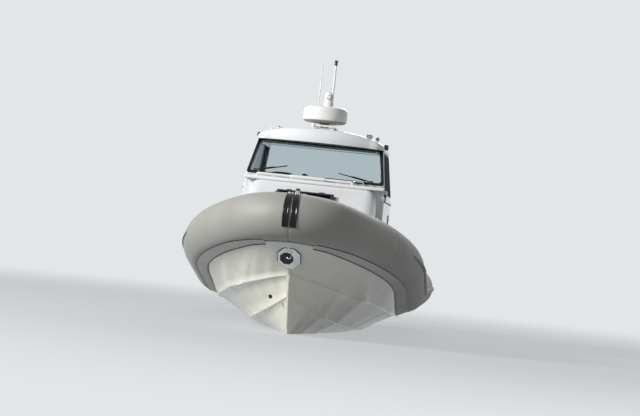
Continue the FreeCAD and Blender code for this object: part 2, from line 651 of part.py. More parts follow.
# Side decks between the wheelhouse, or the coaming, and the collar; they follow the foredeck's slope forward.
def side_deck():
    """The port side deck, standing on the hull."""
    wide, inner = size.side_deck_width, size.cabin_low_half + 2 * size.fit_gap
    low = aft_height + flange_lift - HIGH / 2
    level = Part.makeBox(wide, size.transom_station - size.transom_board - size.side_deck_bend, HIGH / 2,
                         Vector(inner, size.side_deck_bend, size.side_deck_height - HIGH / 2))
    length = (size.side_deck_bend - size.cabin_front) / math.cos(tau) + 120
    sloping = Part.makeBox(wide, length, HIGH / 2, Vector(inner, 0, 0))
    sloping.Placement = Placement(sheer_point(0, deck_end + 5, -size.deck_drop - HIGH / 2),
                                  Rotation(ACROSS, -size.sheer_angle))
    deck = level.fuse(sloping).removeSplitter()
    keep = Part.makeBox(wide + 10, transom_aft, HIGH, Vector(inner - 5, size.cabin_front, 330))
    parts = deck.common(keep).cut(hull_shape).cut(port_collar).Solids
    return max(parts, key=lambda solid: solid.Volume)


deck_port = side_deck()
put("side_deck_port", deck_port)
put("side_deck_starboard", mirrored(deck_port))

# Engine under a hinged box in the cockpit.
box("engine_block", "0", "Sizes.bay_front + Sizes.engine_clearance", "Sizes.bay_floor + Sizes.fit_gap",
    "2 * (Sizes.bay_half_width - Sizes.engine_clearance)",
    "Sizes.bay_back - Sizes.bay_front - Sizes.engine_clearance - Sizes.engine_back_gap",
    "Sizes.engine_height")
lid_foot = Vector(0, size.bay_front, size.sole_height + size.fit_gap)
lid = new_body("engine_box", Placement(lid_foot, Rotation()))
LID = "Sizes.engine_box_lap"
lid_outline = rectangle("-%s - %s" % (BAY_X, LID), "%s + %s" % (BAY_X, LID), "-" + LID,
                        "Sizes.bay_back - Sizes.bay_front + " + LID)
lid_inside = rectangle("-" + BAY_X, BAY_X, "0", "Sizes.bay_back - Sizes.bay_front")
pad(lid, outline_sketch(lid, "lid_outline", "XY_Plane", lid_outline), "Sizes.engine_box_height")
hollow = lid.newObject("PartDesign::Pocket", "lid_hollow")
hollow.Profile = outline_sketch(lid, "lid_inside", "XY_Plane", lid_inside)
hollow.Reversed = True
bind(hollow, Length="Sizes.engine_box_height - Sizes.engine_box_lap")
box("engine_cushion", "0", "Sizes.bay_front + 30", "%s + Sizes.engine_box_height + Sizes.fit_gap" % SOLE_TOP,
    "2 * Sizes.bay_half_width", "Sizes.bay_back - Sizes.bay_front - 60", "Sizes.cushion_thickness")

# Lids on the foredeck and the coachroof.
lid_back = sheer_point(0, (size.locker_back - size.nose_station) / math.cos(tau) + size.lid_overlap,
                       -size.deck_drop + size.fit_gap)
anchor_lid = new_body("anchor_lid", Placement(lid_back, Rotation(ACROSS, -size.sheer_angle)))
LID_X = "(Sizes.locker_half_width + Sizes.lid_overlap)"
pad(anchor_lid, outline_sketch(anchor_lid, "anchor_lid_outline", "XY_Plane", rectangle(
    "-" + LID_X, LID_X, "-(Sizes.locker_back - Sizes.locker_front + 2 * Sizes.lid_overlap)", "0")),
    "Sizes.lid_thickness")
slope = Rotation(ACROSS, slope_angle)
hatch_place = Placement(hatch_corner + slope.multVec(Vector(0, 0, size.fit_gap)), slope)
hatch = new_body("fore_hatch", hatch_place)
pad(hatch, outline_sketch(hatch, "hatch_outline", "XY_Plane", rectangle(
    "-Sizes.hatch_half_width", "Sizes.hatch_half_width", "0", "%f" % hatch_length)), "Sizes.hatch_thickness")

# Roof: a crowned, hollow moulding with a bulging front edge.
def roof_block(inset, base, edge, crown):
    """The roof's plan, moved in, between a flat base and a crowned top."""
    half, corner = size.roof_half_width - inset, size.roof_corner - inset
    front, back = size.roof_front + inset, size.roof_back - inset
    turn = math.sqrt(0.5)
    tip = Vector(0, front - size.roof_bulge, 0)
    port_front = Vector(half - corner, front, 0)
    side_front = Vector(half, front + corner, 0)
    corner_middle = Vector(half - corner * (1 - turn), front + corner * (1 - turn), 0)
    other = [Vector(-point.x, point.y, 0) for point in (port_front, side_front, corner_middle)]
    edges = [Part.Arc(other[0], tip, port_front), Part.Arc(port_front, corner_middle, side_front),
             Part.LineSegment(side_front, Vector(half, back, 0)),
             Part.LineSegment(Vector(half, back, 0), Vector(-half, back, 0)),
             Part.LineSegment(Vector(-half, back, 0), other[1]), Part.Arc(other[1], other[2], other[0])]
    plan = Part.Face(Part.Wire([edge.toShape() for edge in edges]))
    block = plan.extrude(Vector(0, 0, crown + 50))
    block.translate(Vector(0, 0, base))
    far, low = front - size.roof_bulge - 50, base
    left, right = Vector(-half - 5, far, low + edge), Vector(half + 5, far, low + edge)
    arch = Part.Wire([Part.Arc(left, Vector(0, far, low + crown), right).toShape(),
                      Part.LineSegment(right, Vector(half + 5, far, low)).toShape(),
                      Part.LineSegment(Vector(half + 5, far, low), Vector(-half - 5, far, low)).toShape(),
                      Part.LineSegment(Vector(-half - 5, far, low), left).toShape()])
    return block.common(Part.Face(arch).extrude(Vector(0, back - far + 50, 0)))


roof_base = size.roof_line + size.fit_gap
roof = roof_block(0, roof_base, size.roof_edge_height, size.roof_crown)
hollow_roof = roof_block(size.roof_thickness + 45, roof_base - 1, 8, size.roof_crown - size.roof_thickness)
put("cabin_roof", roof.cut(hollow_roof))


def cylinder(node, radius, height, base, axis=Vector(0, 0, 1)):
    """A cylinder from expressions, standing on a base point along an axis."""
    item = doc.addObject("Part::Cylinder", node)
    item.Label = node
    bind(item, Radius=radius, Height=height)
    item.Placement = Placement(base, Rotation(Vector(0, 0, 1), axis))
    NODES.append(item)
    return item


def rod(points, radius):
    """A round bar along a polyline whose inner corners are rounded by tangent arcs."""
    edges, here = [], points[0]
    for before, corner, after in zip(points, points[1:], points[2:]):
        into, out = (corner - before), (after - corner)
        bend = min(0.45 * min(into.Length, out.Length), 3.5 * radius)
        into.normalize()
        out.normalize()
        start, end = corner - into * bend, corner + out * bend
        half_turn = into.getAngle(out) / 2
        across = (out - into).normalize()
        arc_radius = bend / math.tan(half_turn)
        middle = corner + across * (arc_radius / math.cos(half_turn) - arc_radius)
        edges += [Part.LineSegment(here, start), Part.Arc(start, middle, end)]
        here = end
    edges.append(Part.LineSegment(here, points[-1]))
    path = Part.Wire([edge.toShape() for edge in edges])
    ring = Part.Wire(Part.Circle(points[0], points[1] - points[0], radius).toShape())
    return path.makePipeShell([ring], True, False)


def turned(foot, profile):
    """A solid turned about an upright line, from radius and height pairs."""
    corners = [foot + Vector(radius, 0, height) for radius, height in profile]
    return Part.Face(Part.makePolygon(corners + [corners[0]])).revolve(foot, Vector(0, 0, 1), 360)


# Rubber and fabric bonded to the collar.
def nose_band(start_turn, end_turn, low, high, inner, outer):
    """A patch on the nose of the port tube, turned about the nose arc's centre."""
    outward = ACROSS * math.sin(start_turn) - ALONG * math.cos(start_turn)
    face = sector(nose_point(start_turn), outward, ABOVE, inner, outer, low, high)
    centre = sheer_point(0, size.nose_radius)
    return face.revolve(centre, ABOVE, math.degrees(end_turn - start_turn))


on_tube = size.collar_radius + size.fit_gap
pad_reach = size.nose_radius + size.collar_radius
pad_start = size.pad_spacing / 2 / pad_reach
pad_end = pad_start + size.pad_width / pad_reach
pad_shape = nose_band(pad_start, pad_end, -size.pad_low_angle, size.pad_high_angle,
                      on_tube, on_tube + size.pad_thickness)
put("nose_pad_port", pad_shape)
put("nose_pad_starboard", mirrored(pad_shape))


def bonded_strip(start_turn, back, low, high, thickness):
    """A strip along the port tube from a turn on the nose or the shoulder to a station."""
    centre = nose_point(start_turn) if start_turn < nose_turn else shoulder_point(start_turn)
    outward = ACROSS * math.sin(start_turn) - ALONG * math.cos(start_turn)
    face = sector(centre, outward, ABOVE, on_tube, on_tube + thickness, low, high)
    return collar_path(start_turn, back).makePipeShell([face.OuterWire], True, False)


strake = bonded_strip(math.radians(size.strake_start_turn), size.collar_end,
                      -size.strake_half_angle, size.strake_half_angle, size.strake_thickness)
put("strake_port", strake)
put("strake_starboard", mirrored(strake))

# Stem plate folded round the stem, the bow eye through it, and the bow post on the deck.
stem_top, stem_low = hull_section(HULL_ROWS[0])[-1], hull_section(HULL_ROWS[0])[4]
stem_line = (stem_top - stem_low).normalize()
plate_middle = stem_low + stem_line * ((size.stem_plate_height - stem_low.z) / stem_line.z)
plate_middle.x = 0

fold_side = (hull_section(HULL_ROWS[1])[-1] + hull_section(HULL_ROWS[1])[4]) * 0.5 - plate_middle
fold_side = (fold_side - stem_line * fold_side.dot(stem_line)).normalize()
fold_normal = fold_side.cross(stem_line).normalize()
if fold_normal.y > 0:
    fold_normal = fold_normal * -1
start = Vector(STEM_HALF, plate_middle.y, plate_middle.z) + fold_normal * 2
PLATE_OUTLINE = [(0.0, 0.80), (0.42, 0.80), (0.82, 0.52), (1.0, 0.18), (0.94, -0.24), (0.62, -0.62),
                 (0.0, -1.0)]
corners = [start + fold_side * (size.stem_plate_radius * u)
           + stem_line * (size.stem_plate_radius * size.stem_plate_stretch * v)
           for u, v in PLATE_OUTLINE]
front = fold_normal * size.stem_plate_thickness
port_plate = Part.Face(Part.makePolygon(corners + [corners[0]])).extrude(front)
bridge_low, bridge_high = corners[-1], corners[0]
bridge_front = bridge_low + front
section = [bridge_low, bridge_front, Vector(-bridge_front.x, bridge_front.y, bridge_front.z),
           Vector(-bridge_low.x, bridge_low.y, bridge_low.z)]
bridge = Part.Face(Part.makePolygon(section + [section[0]])).extrude(bridge_high - bridge_low)
stem_plate = port_plate.fuse([mirrored(port_plate), bridge]).removeSplitter()
stem_plate = stem_plate.cut(hull_shape)
put("stem_plate", stem_plate)
eye_centre = plate_middle + stem_line * 45
eye_out = Vector(0, -stem_line.z, stem_line.y).normalize()
eye_centre.x = 0
eye_start = eye_centre - eye_out * 20
legs = [eye_start + ACROSS * size.eye_radius * 0.6, eye_start + ACROSS * size.eye_radius * 0.6 + eye_out * 72,
        eye_start - ACROSS * size.eye_radius * 0.6 + eye_out * 72, eye_start - ACROSS * size.eye_radius * 0.6]
eye = rod(legs, size.eye_rod)
put("bow_eye", max(eye.cut(hull_shape).cut(stem_plate).Solids, key=lambda solid: solid.Volume))
post_run = (size.post_station - size.nose_station) / math.cos(tau)
post_foot = sheer_point(0, post_run, -size.deck_drop + size.fit_gap)
pin_foot = post_foot + ABOVE * (size.post_height - 60) - ACROSS * size.post_pin_length / 2


joined("bow_post", [
    blank("Cylinder", "post_bar", post_foot, Rotation(Vector(0, 0, 1), ABOVE),
          Radius="Sizes.post_radius", Height="Sizes.post_height"),
    blank("Cylinder", "post_pin", pin_foot, Rotation(Vector(0, 0, 1), ACROSS),
          Radius="Sizes.post_radius / 2.4", Height="Sizes.post_pin_length")])

# Dashboard, helm and seats.
DASH_TOP = "Sizes.screen_base_height - Sizes.dash_drop"
DASH_FOOT = DASH_TOP + " - Sizes.dash_height"
DASH_FRONT = "Sizes.cabin_front + Sizes.wall_thickness + Sizes.fit_gap"
DASH_BACK = "Sizes.cabin_front + Sizes.dash_depth"
dash = new_body("dashboard", Placement(Vector(-size.dash_half_width, 0, 0), Rotation()))
pad(dash, outline_sketch(dash, "dash_profile", "YZ_Plane", [
    (DASH_FRONT, DASH_FOOT), (DASH_BACK + " - 70", DASH_FOOT), (DASH_BACK, DASH_FOOT + " + 100"),
    (DASH_BACK + " - 60", DASH_TOP + " - 130"), (DASH_BACK + " - 170", DASH_TOP + " - 30"),
    (DASH_FRONT, DASH_TOP)]), "2 * Sizes.dash_half_width")
lean = math.radians(size.helm_lean)
helm_axis = Vector(0, math.cos(lean), math.sin(lean))
shaft_foot = Vector(size.helm_station, size.cabin_front + size.dash_depth - 30,
                    size.screen_base_height - size.dash_drop - 225) + helm_axis * size.fit_gap
cylinder("helm_shaft", "Sizes.shaft_radius", "Sizes.shaft_length", shaft_foot, helm_axis)
helm_centre = shaft_foot + helm_axis * (size.shaft_length - size.helm_hub_length / 2 - 6)
rim = Part.makeTorus(size.helm_radius, size.helm_rim, helm_centre, helm_axis)
hub_foot = helm_centre - helm_axis * size.helm_hub_length / 2
hub = Part.makeCylinder(size.helm_hub_radius, size.helm_hub_length, hub_foot, helm_axis)
side_axis = helm_axis.cross(ACROSS)
spokes = []
for degrees in (0, 180, 270):
    angle = math.radians(degrees)
    direction = ACROSS * math.cos(angle) + side_axis * math.sin(angle)
    spokes.append(Part.makeCylinder(9, size.helm_radius - 22, helm_centre + direction * 22, direction))
bore = Part.makeCylinder(size.shaft_radius + size.shaft_play, 2 * size.shaft_length,
                         shaft_foot - helm_axis * 20, helm_axis)
put("helm_wheel", rim.fuse([hub] + spokes).cut(bore))

SEAT_PLACES = {"starboard": -1, "middle": 0, "port": 1}
PLINTH_OUTLINE = [("0", "0"), ("Sizes.seat_depth - 10", "0"), ("Sizes.seat_depth - 30", "Sizes.plinth_height"),
                  ("30", "Sizes.plinth_height")]
SEAT_OUTLINE = [("0", "0"), ("Sizes.seat_depth", "0"), ("Sizes.seat_depth + 90", "Sizes.seat_height - 10"),
                ("Sizes.seat_depth + 10", "Sizes.seat_height"), ("Sizes.seat_depth - 50", "130"), ("0", "110")]
seat_foot = Vector(0, size.seat_station, size.sole_height + size.fit_gap)
plinth_half = size.seat_pitch + size.seat_width / 2
plinth = new_body("seat_plinth", Placement(seat_foot - ACROSS * plinth_half, Rotation()))
pad(plinth, outline_sketch(plinth, "plinth_profile", "YZ_Plane", PLINTH_OUTLINE),
    "2 * Sizes.seat_pitch + Sizes.seat_width")
for name, side in SEAT_PLACES.items():
    across = side * size.seat_pitch - size.seat_width / 2
    corner = seat_foot + Vector(across, 0, size.plinth_height + size.fit_gap)
    seat = new_body("seat_" + name, Placement(corner, Rotation()))
    pad(seat, outline_sketch(seat, name + "_cushion", "YZ_Plane", SEAT_OUTLINE), "Sizes.seat_width")

# Roof gear, on the crown of the roof.
roof_top = size.roof_line + size.fit_gap + size.roof_crown


def roof_height(across):
    """The height of the roof's crowned surface at a distance from the centreline."""
    half = size.roof_half_width + 5
    rise = size.roof_crown - size.roof_edge_height
    arc = (half * half + rise * rise) / (2 * rise)
    return roof_top - arc + math.sqrt(arc * arc - across * across)


gap = size.fit_gap
mast_foot = Part.makeCylinder(60, size.radome_base - roof_top - 30,
                              Vector(0, size.radome_station, roof_top + 30))
mast_plate = Part.makeBox(300, 660, 22, Vector(-150, size.radome_station - 180, roof_top + 40))
mast_bridge = [Part.makeBox(46, 70, 70, Vector(x - 23, y - 35, roof_height(abs(x) - 23) + gap))
               for x in (-115, 115)
               for y in (size.radome_station - 110, size.radome_station + size.stalk_setback)]
radome_place = Vector(0, size.radome_station, size.radome_base + gap)
RADOME_SHAPE = [(0, 0), (0.86, 0), (0.97, 0.12), (1.0, 0.35), (1.0, 0.72), (0.95, 0.92), (0.85, 1.0), (0, 1.0)]
radome_profile = [(u * size.radome_radius, v * size.radome_height) for u, v in RADOME_SHAPE]
put("radome", turned(radome_place, radome_profile))
stalk_station = size.radome_station + size.stalk_setback
stalk_foot = Vector(0, stalk_station, roof_top + 62 + gap)
stalk_length = size.radome_base + size.radome_height - roof_top - 40 - gap
stalk = Part.makeCylinder(26, stalk_length + 10, stalk_foot - Vector(0, 0, 10))
put("mast_base", mast_plate.fuse([mast_foot, stalk] + mast_bridge).removeSplitter())
camera_foot = stalk_foot + Vector(0, 0, stalk_length + gap)
TURRET_PROFILE = [(0, 0), (62, 0), (62, 50), (48, 78), (57, 92), (57, 142), (48, 174), (30, 188), (0, 192)]
put("camera_turret", turned(camera_foot, TURRET_PROFILE))
POLE_X = 35
pole_foot = Vector(POLE_X, stalk_station + 110, roof_top + 62 + gap)
joined("light_pole", [
    blank("Cylinder", "pole_tube", pole_foot,
          Radius="Sizes.pole_radius", Height="Sizes.pole_top - %f" % pole_foot.z),
    blank("Cylinder", "pole_lamp", Vector(pole_foot.x, pole_foot.y, size.pole_top), Radius="22", Height="70")])
whip_foot = Vector(-141, stalk_station + 190, roof_height(141 - 17) + gap)
joined("whip_antenna", [
    blank("Cylinder", "whip_socket", whip_foot, Radius="17", Height="60"),
    blank("Cylinder", "whip_rod", whip_foot,
          Radius="Sizes.whip_radius", Height="Sizes.whip_top - %f" % whip_foot.z)])
gps_foot = Vector(-112, size.radome_station - 270, roof_height(112 - 22) + gap)
gps_stem = Part.makeCylinder(12, 45, gps_foot)
gps_cap = Part.makeCone(22, 18, 36, gps_foot + Vector(0, 0, 40))
put("position_antenna", gps_stem.fuse(gps_cap))
lamp_x = size.roof_half_width - size.lamp_inset
lamp_foot = Vector(lamp_x, size.roof_front + 200, roof_height(lamp_x - size.rail_radius) + gap)
lamp_stem = Part.makeCylinder(size.rail_radius, 30, lamp_foot)
lamp_head = Part.makeCylinder(30, 80, lamp_foot + Vector(0, -40, 50), Vector(0, 1, 0))
put("searchlight", lamp_stem.fuse(lamp_head))
rail_x = size.roof_half_width - size.rail_inset
rail_foot = roof_height(rail_x - size.rail_radius) + gap
rail_line = roof_height(rail_x) + size.rail_rise
rail_front, rail_back = size.roof_front + 320, size.roof_back - 100
feet = [Vector(rail_x, rail_front, rail_foot), Vector(rail_x, rail_front, rail_line),
        Vector(rail_x, rail_back, rail_line), Vector(rail_x, rail_back, rail_foot)]
rail = rod(feet, size.rail_radius)
put("roof_rail_port", rail)
put("roof_rail_starboard", mirrored(rail))


# Sterndrive: bracket on the transom, steering ring, tilting leg and two propellers.
transom_face = size.transom_station + size.fit_gap
bracket = Part.makeBox(2 * size.shield_half, size.shield_thickness, size.shield_high - size.shield_low,
                       Vector(-size.shield_half, transom_face, size.shield_low))
steer_base = Vector(0, size.steer_station, size.tilt_height)
ring_top = size.ring_height / 2
put("drive_bracket", bracket)
lug_front = transom_face + size.shield_thickness
lug_length = size.steer_station + 28 - lug_front
up = Vector(0, 0, 1)
for name, sign in (("upper", 1), ("lower", -1)):
    near = sign * (ring_top + size.lug_clearance)
    low = min(near, near + sign * size.lug_thickness)
    arm = Part.makeBox(2 * size.lug_half, lug_length, size.lug_thickness,
                       Vector(-size.lug_half, lug_front, size.tilt_height + low))
    stub = Part.makeCylinder(size.pin_radius, size.lug_thickness + 40,
                             steer_base + up * (near + sign * size.lug_thickness), up * -sign)
    put("steer_lug_" + name, arm.fuse(stub).removeSplitter())
ring = Part.makeBox(2 * size.ring_half, size.ring_depth, size.ring_height,
                    steer_base - Vector(size.ring_half, size.ring_depth / 2, ring_top))
steer_bore = size.pin_radius + size.pin_play
bores = [Part.makeCylinder(steer_bore, 42, steer_base + up * (sign * (ring_top + 1)), up * -sign)
         for sign in (1, -1)]
tilt_reach = size.ring_half + size.drive_clearance + size.arm_thickness
tilt_bore = Part.makeCylinder(steer_bore, 2 * tilt_reach + 10, steer_base - ACROSS * (tilt_reach + 5), ACROSS)
put("steer_ring", ring.cut(bores[0]).cut(bores[1]).cut(tilt_bore))
leg_parts = [Part.makeCylinder(size.pin_radius, 2 * tilt_reach, steer_base - ACROSS * tilt_reach, ACROSS)]
for sign in (1, -1):
    corner = min(sign * (size.ring_half + size.drive_clearance), sign * tilt_reach)
    leg_parts.append(Part.makeBox(size.arm_thickness, size.drive_front - size.steer_station + 45, 50,
                                  Vector(corner, size.steer_station - 25, size.tilt_height - 25)))
leg_parts.append(Part.makeBox(2 * tilt_reach, size.drive_back - size.drive_front, 75,
                              Vector(-tilt_reach, size.drive_front, size.tilt_height - 55)))
shaft_depth = size.tilt_height - size.torpedo_height
FIN = [(-0.5, 0), (-0.32, 0.8), (0, 1), (0.3, 0.85), (0.5, 0), (0.3, -0.85), (0, -1), (-0.32, -0.8)]
fin_middle = (size.drive_front + size.drive_back) / 2 + 8
fin = [Vector(42 * v, fin_middle + 160 * u, size.torpedo_height) for u, v in FIN]
leg_parts.append(Part.Face(Part.makePolygon(fin + [fin[0]])).extrude(up * (shaft_depth - 50)))
leg_parts.append(Part.makeBox(280, 345, 12, Vector(-140, size.drive_back - 220, size.torpedo_height + 176)))
torpedo_end = Vector(0, size.drive_back + 8, size.torpedo_height)
leg_parts.append(Part.makeCylinder(size.torpedo_radius, 150, torpedo_end, Vector(0, -1, 0)))
torpedo_front = torpedo_end - Vector(0, 150, 0)
leg_parts.append(Part.makeCone(size.torpedo_radius, 18, 90, torpedo_front, Vector(0, -1, 0)))
SKEG = [(-150, 0), (-10, 0), (-10, -160), (-70, -160)]
skeg = [Vector(-8, size.drive_back + aft, size.torpedo_height + rise) for aft, rise in SKEG]
leg_parts.append(Part.Face(Part.makePolygon(skeg + [skeg[0]])).extrude(ACROSS * 16))
shaft_start = torpedo_end - Vector(0, 10, 0)
leg_parts.append(Part.makeCylinder(size.propeller_shaft, 124, shaft_start, Vector(0, 1, 0)))
put("drive_leg", leg_parts[0].fuse(leg_parts[1:]).removeSplitter())
PROPELLERS = {"propeller_fore": (4, 4, 1), "propeller_aft": (58, 3, -1)}
for node, (offset, blades, hand) in PROPELLERS.items():
    foot = torpedo_end + Vector(0, offset + 2, 0)
    hub = Part.makeCylinder(size.propeller_hub, size.propeller_length, foot, Vector(0, 1, 0))
    middle = foot + Vector(0, size.propeller_length / 2, 0)
    shape = hub
    for number in range(blades):
        blade = Part.makeBox(74, size.blade_thickness, size.propeller_radius - size.propeller_hub + 15,
                             Vector(-37, -size.blade_thickness / 2, size.propeller_hub - 15))
        blade.Placement = Placement(middle, Rotation(Vector(0, 1, 0), 360.0 * number / blades)
                                    * Rotation(up, hand * size.blade_pitch))
        shape = shape.fuse(blade)
    bore_radius = size.propeller_shaft + size.pin_play
    bore = Part.makeCylinder(bore_radius, 200, foot - Vector(0, 50, 0), Vector(0, 1, 0))
    put(node, shape.cut(bore))


doc.recompute()
os.makedirs("parts", exist_ok=True)
for item in doc.Objects:
    if "Invalid" in item.State or "Error" in item.State:
        raise ValueError("%s failed: %s" % (item.Name, item.State))
for node in NODES:
    if node.Shape.isNull() or not node.Shape.isValid():
        raise ValueError(node.Label + " has no valid shape")
    node.Shape.exportStep("parts/" + node.Label + ".step")
    bounds = node.Shape.BoundBox
    print("%-24s %d solids, %7.1f litres, x %6.0f %6.0f y %6.0f %6.0f z %6.0f %6.0f" % (
        node.Label, len(node.Shape.Solids), node.Shape.Volume / 1e6, bounds.XMin, bounds.XMax,
        bounds.YMin, bounds.YMax, bounds.ZMin, bounds.ZMax))
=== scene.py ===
"""Cabin rigid inflatable boat, dressed for rendering around its solid model.

Frame: +X to port, +Y aft, +Z up, metres. The running waterline is at z = 0, the centreline is at
x = 0, and y = 0 is the after end of the wheelhouse.
"""

import json
import logging
from dataclasses import dataclass
from enum import Enum
from math import atan2, cos, exp, hypot, pi, radians, sin, sqrt, tan, tau
from typing import Optional, Sequence

import bmesh
import bpy
from mathutils import Matrix, Vector

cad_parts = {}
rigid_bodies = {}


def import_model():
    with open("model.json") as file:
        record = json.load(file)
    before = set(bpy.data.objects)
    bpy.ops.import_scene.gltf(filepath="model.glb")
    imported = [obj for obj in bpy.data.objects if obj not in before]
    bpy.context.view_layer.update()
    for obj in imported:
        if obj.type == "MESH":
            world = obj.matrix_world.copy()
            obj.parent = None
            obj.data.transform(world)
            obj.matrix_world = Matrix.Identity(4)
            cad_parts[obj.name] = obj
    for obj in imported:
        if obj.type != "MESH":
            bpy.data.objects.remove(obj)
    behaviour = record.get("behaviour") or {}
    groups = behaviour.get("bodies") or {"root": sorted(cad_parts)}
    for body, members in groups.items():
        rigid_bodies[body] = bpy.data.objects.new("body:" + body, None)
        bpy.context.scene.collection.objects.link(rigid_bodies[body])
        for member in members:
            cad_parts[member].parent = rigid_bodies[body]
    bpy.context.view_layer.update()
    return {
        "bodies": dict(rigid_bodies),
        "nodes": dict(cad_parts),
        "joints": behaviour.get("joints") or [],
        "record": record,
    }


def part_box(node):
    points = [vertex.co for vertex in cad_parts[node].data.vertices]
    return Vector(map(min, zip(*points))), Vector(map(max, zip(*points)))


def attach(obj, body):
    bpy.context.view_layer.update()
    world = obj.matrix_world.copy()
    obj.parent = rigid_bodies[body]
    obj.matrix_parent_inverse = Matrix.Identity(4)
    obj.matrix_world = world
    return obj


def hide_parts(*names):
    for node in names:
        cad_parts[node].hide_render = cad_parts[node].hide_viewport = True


LOG = logging.getLogger("boat")
PORT, STARBOARD = 1, -1
SIDES = {"port": PORT, "starboard": STARBOARD}
Ring = list[Vector]
Shape = bmesh.types.BMesh


def linear(code: str) -> tuple[float, float, float, float]:
    """Turns an sRGB hex colour into linear values.

    Args:
        code: The colour as six hex digits.

    Returns:
        Linear red, green, blue and an alpha of 1.
    """
    parts = [int(code[i:i + 2], 16) / 255 for i in (0, 2, 4)]
    low = [p / 12.92 if p <= 0.04045 else ((p + 0.055) / 1.055) ** 2.4 for p in parts]
    return (*low, 1.0)


@dataclass
class Graph:
    """The node tree of a material or of the world."""

    tree: bpy.types.NodeTree

    def add(self, kind: str, links: Optional[dict] = None, **settings: object) -> bpy.types.Node:
        """Adds a node with its settings, values and links.

        Args:
            kind: The node's type, without its ShaderNode prefix.
            links: Input name or number to a value or an output socket.
            **settings: Attributes of the node.

        Returns:
            The new node.
        """
        node = self.tree.nodes.new("ShaderNode" + kind)
        for name, value in settings.items():
            setattr(node, name, value)
        for name, value in (links or {}).items():
            socket = node.inputs[name]
            if isinstance(value, bpy.types.NodeSocket):
                self.tree.links.new(value, socket)
            else:
                socket.default_value = value
        return node


@dataclass(frozen=True)
class Coat:
    """What a finish looks like: colour, gloss, and the fine patterns over it.

    Sizes are the pattern's real ones in millimetres, drawn as coarse as they need to show.
    """

    name: str
    colour: str
    shade: str
    roughness: float
    metallic: float = 0.0
    coat: float = 0.0
    sheen: float = 0.0
    mottle_mm: float = 400.0
    mottle: float = 0.5
    grain_mm: float = 20.0
    grain_depth: float = 0.0
    weave_mm: float = 0.0
    stud_mm: float = 0.0
    streak_mm: float = 0.0
    streak: str = ""
    transmission: float = 0.0
    ior: float = 1.5
    specular: float = 0.5


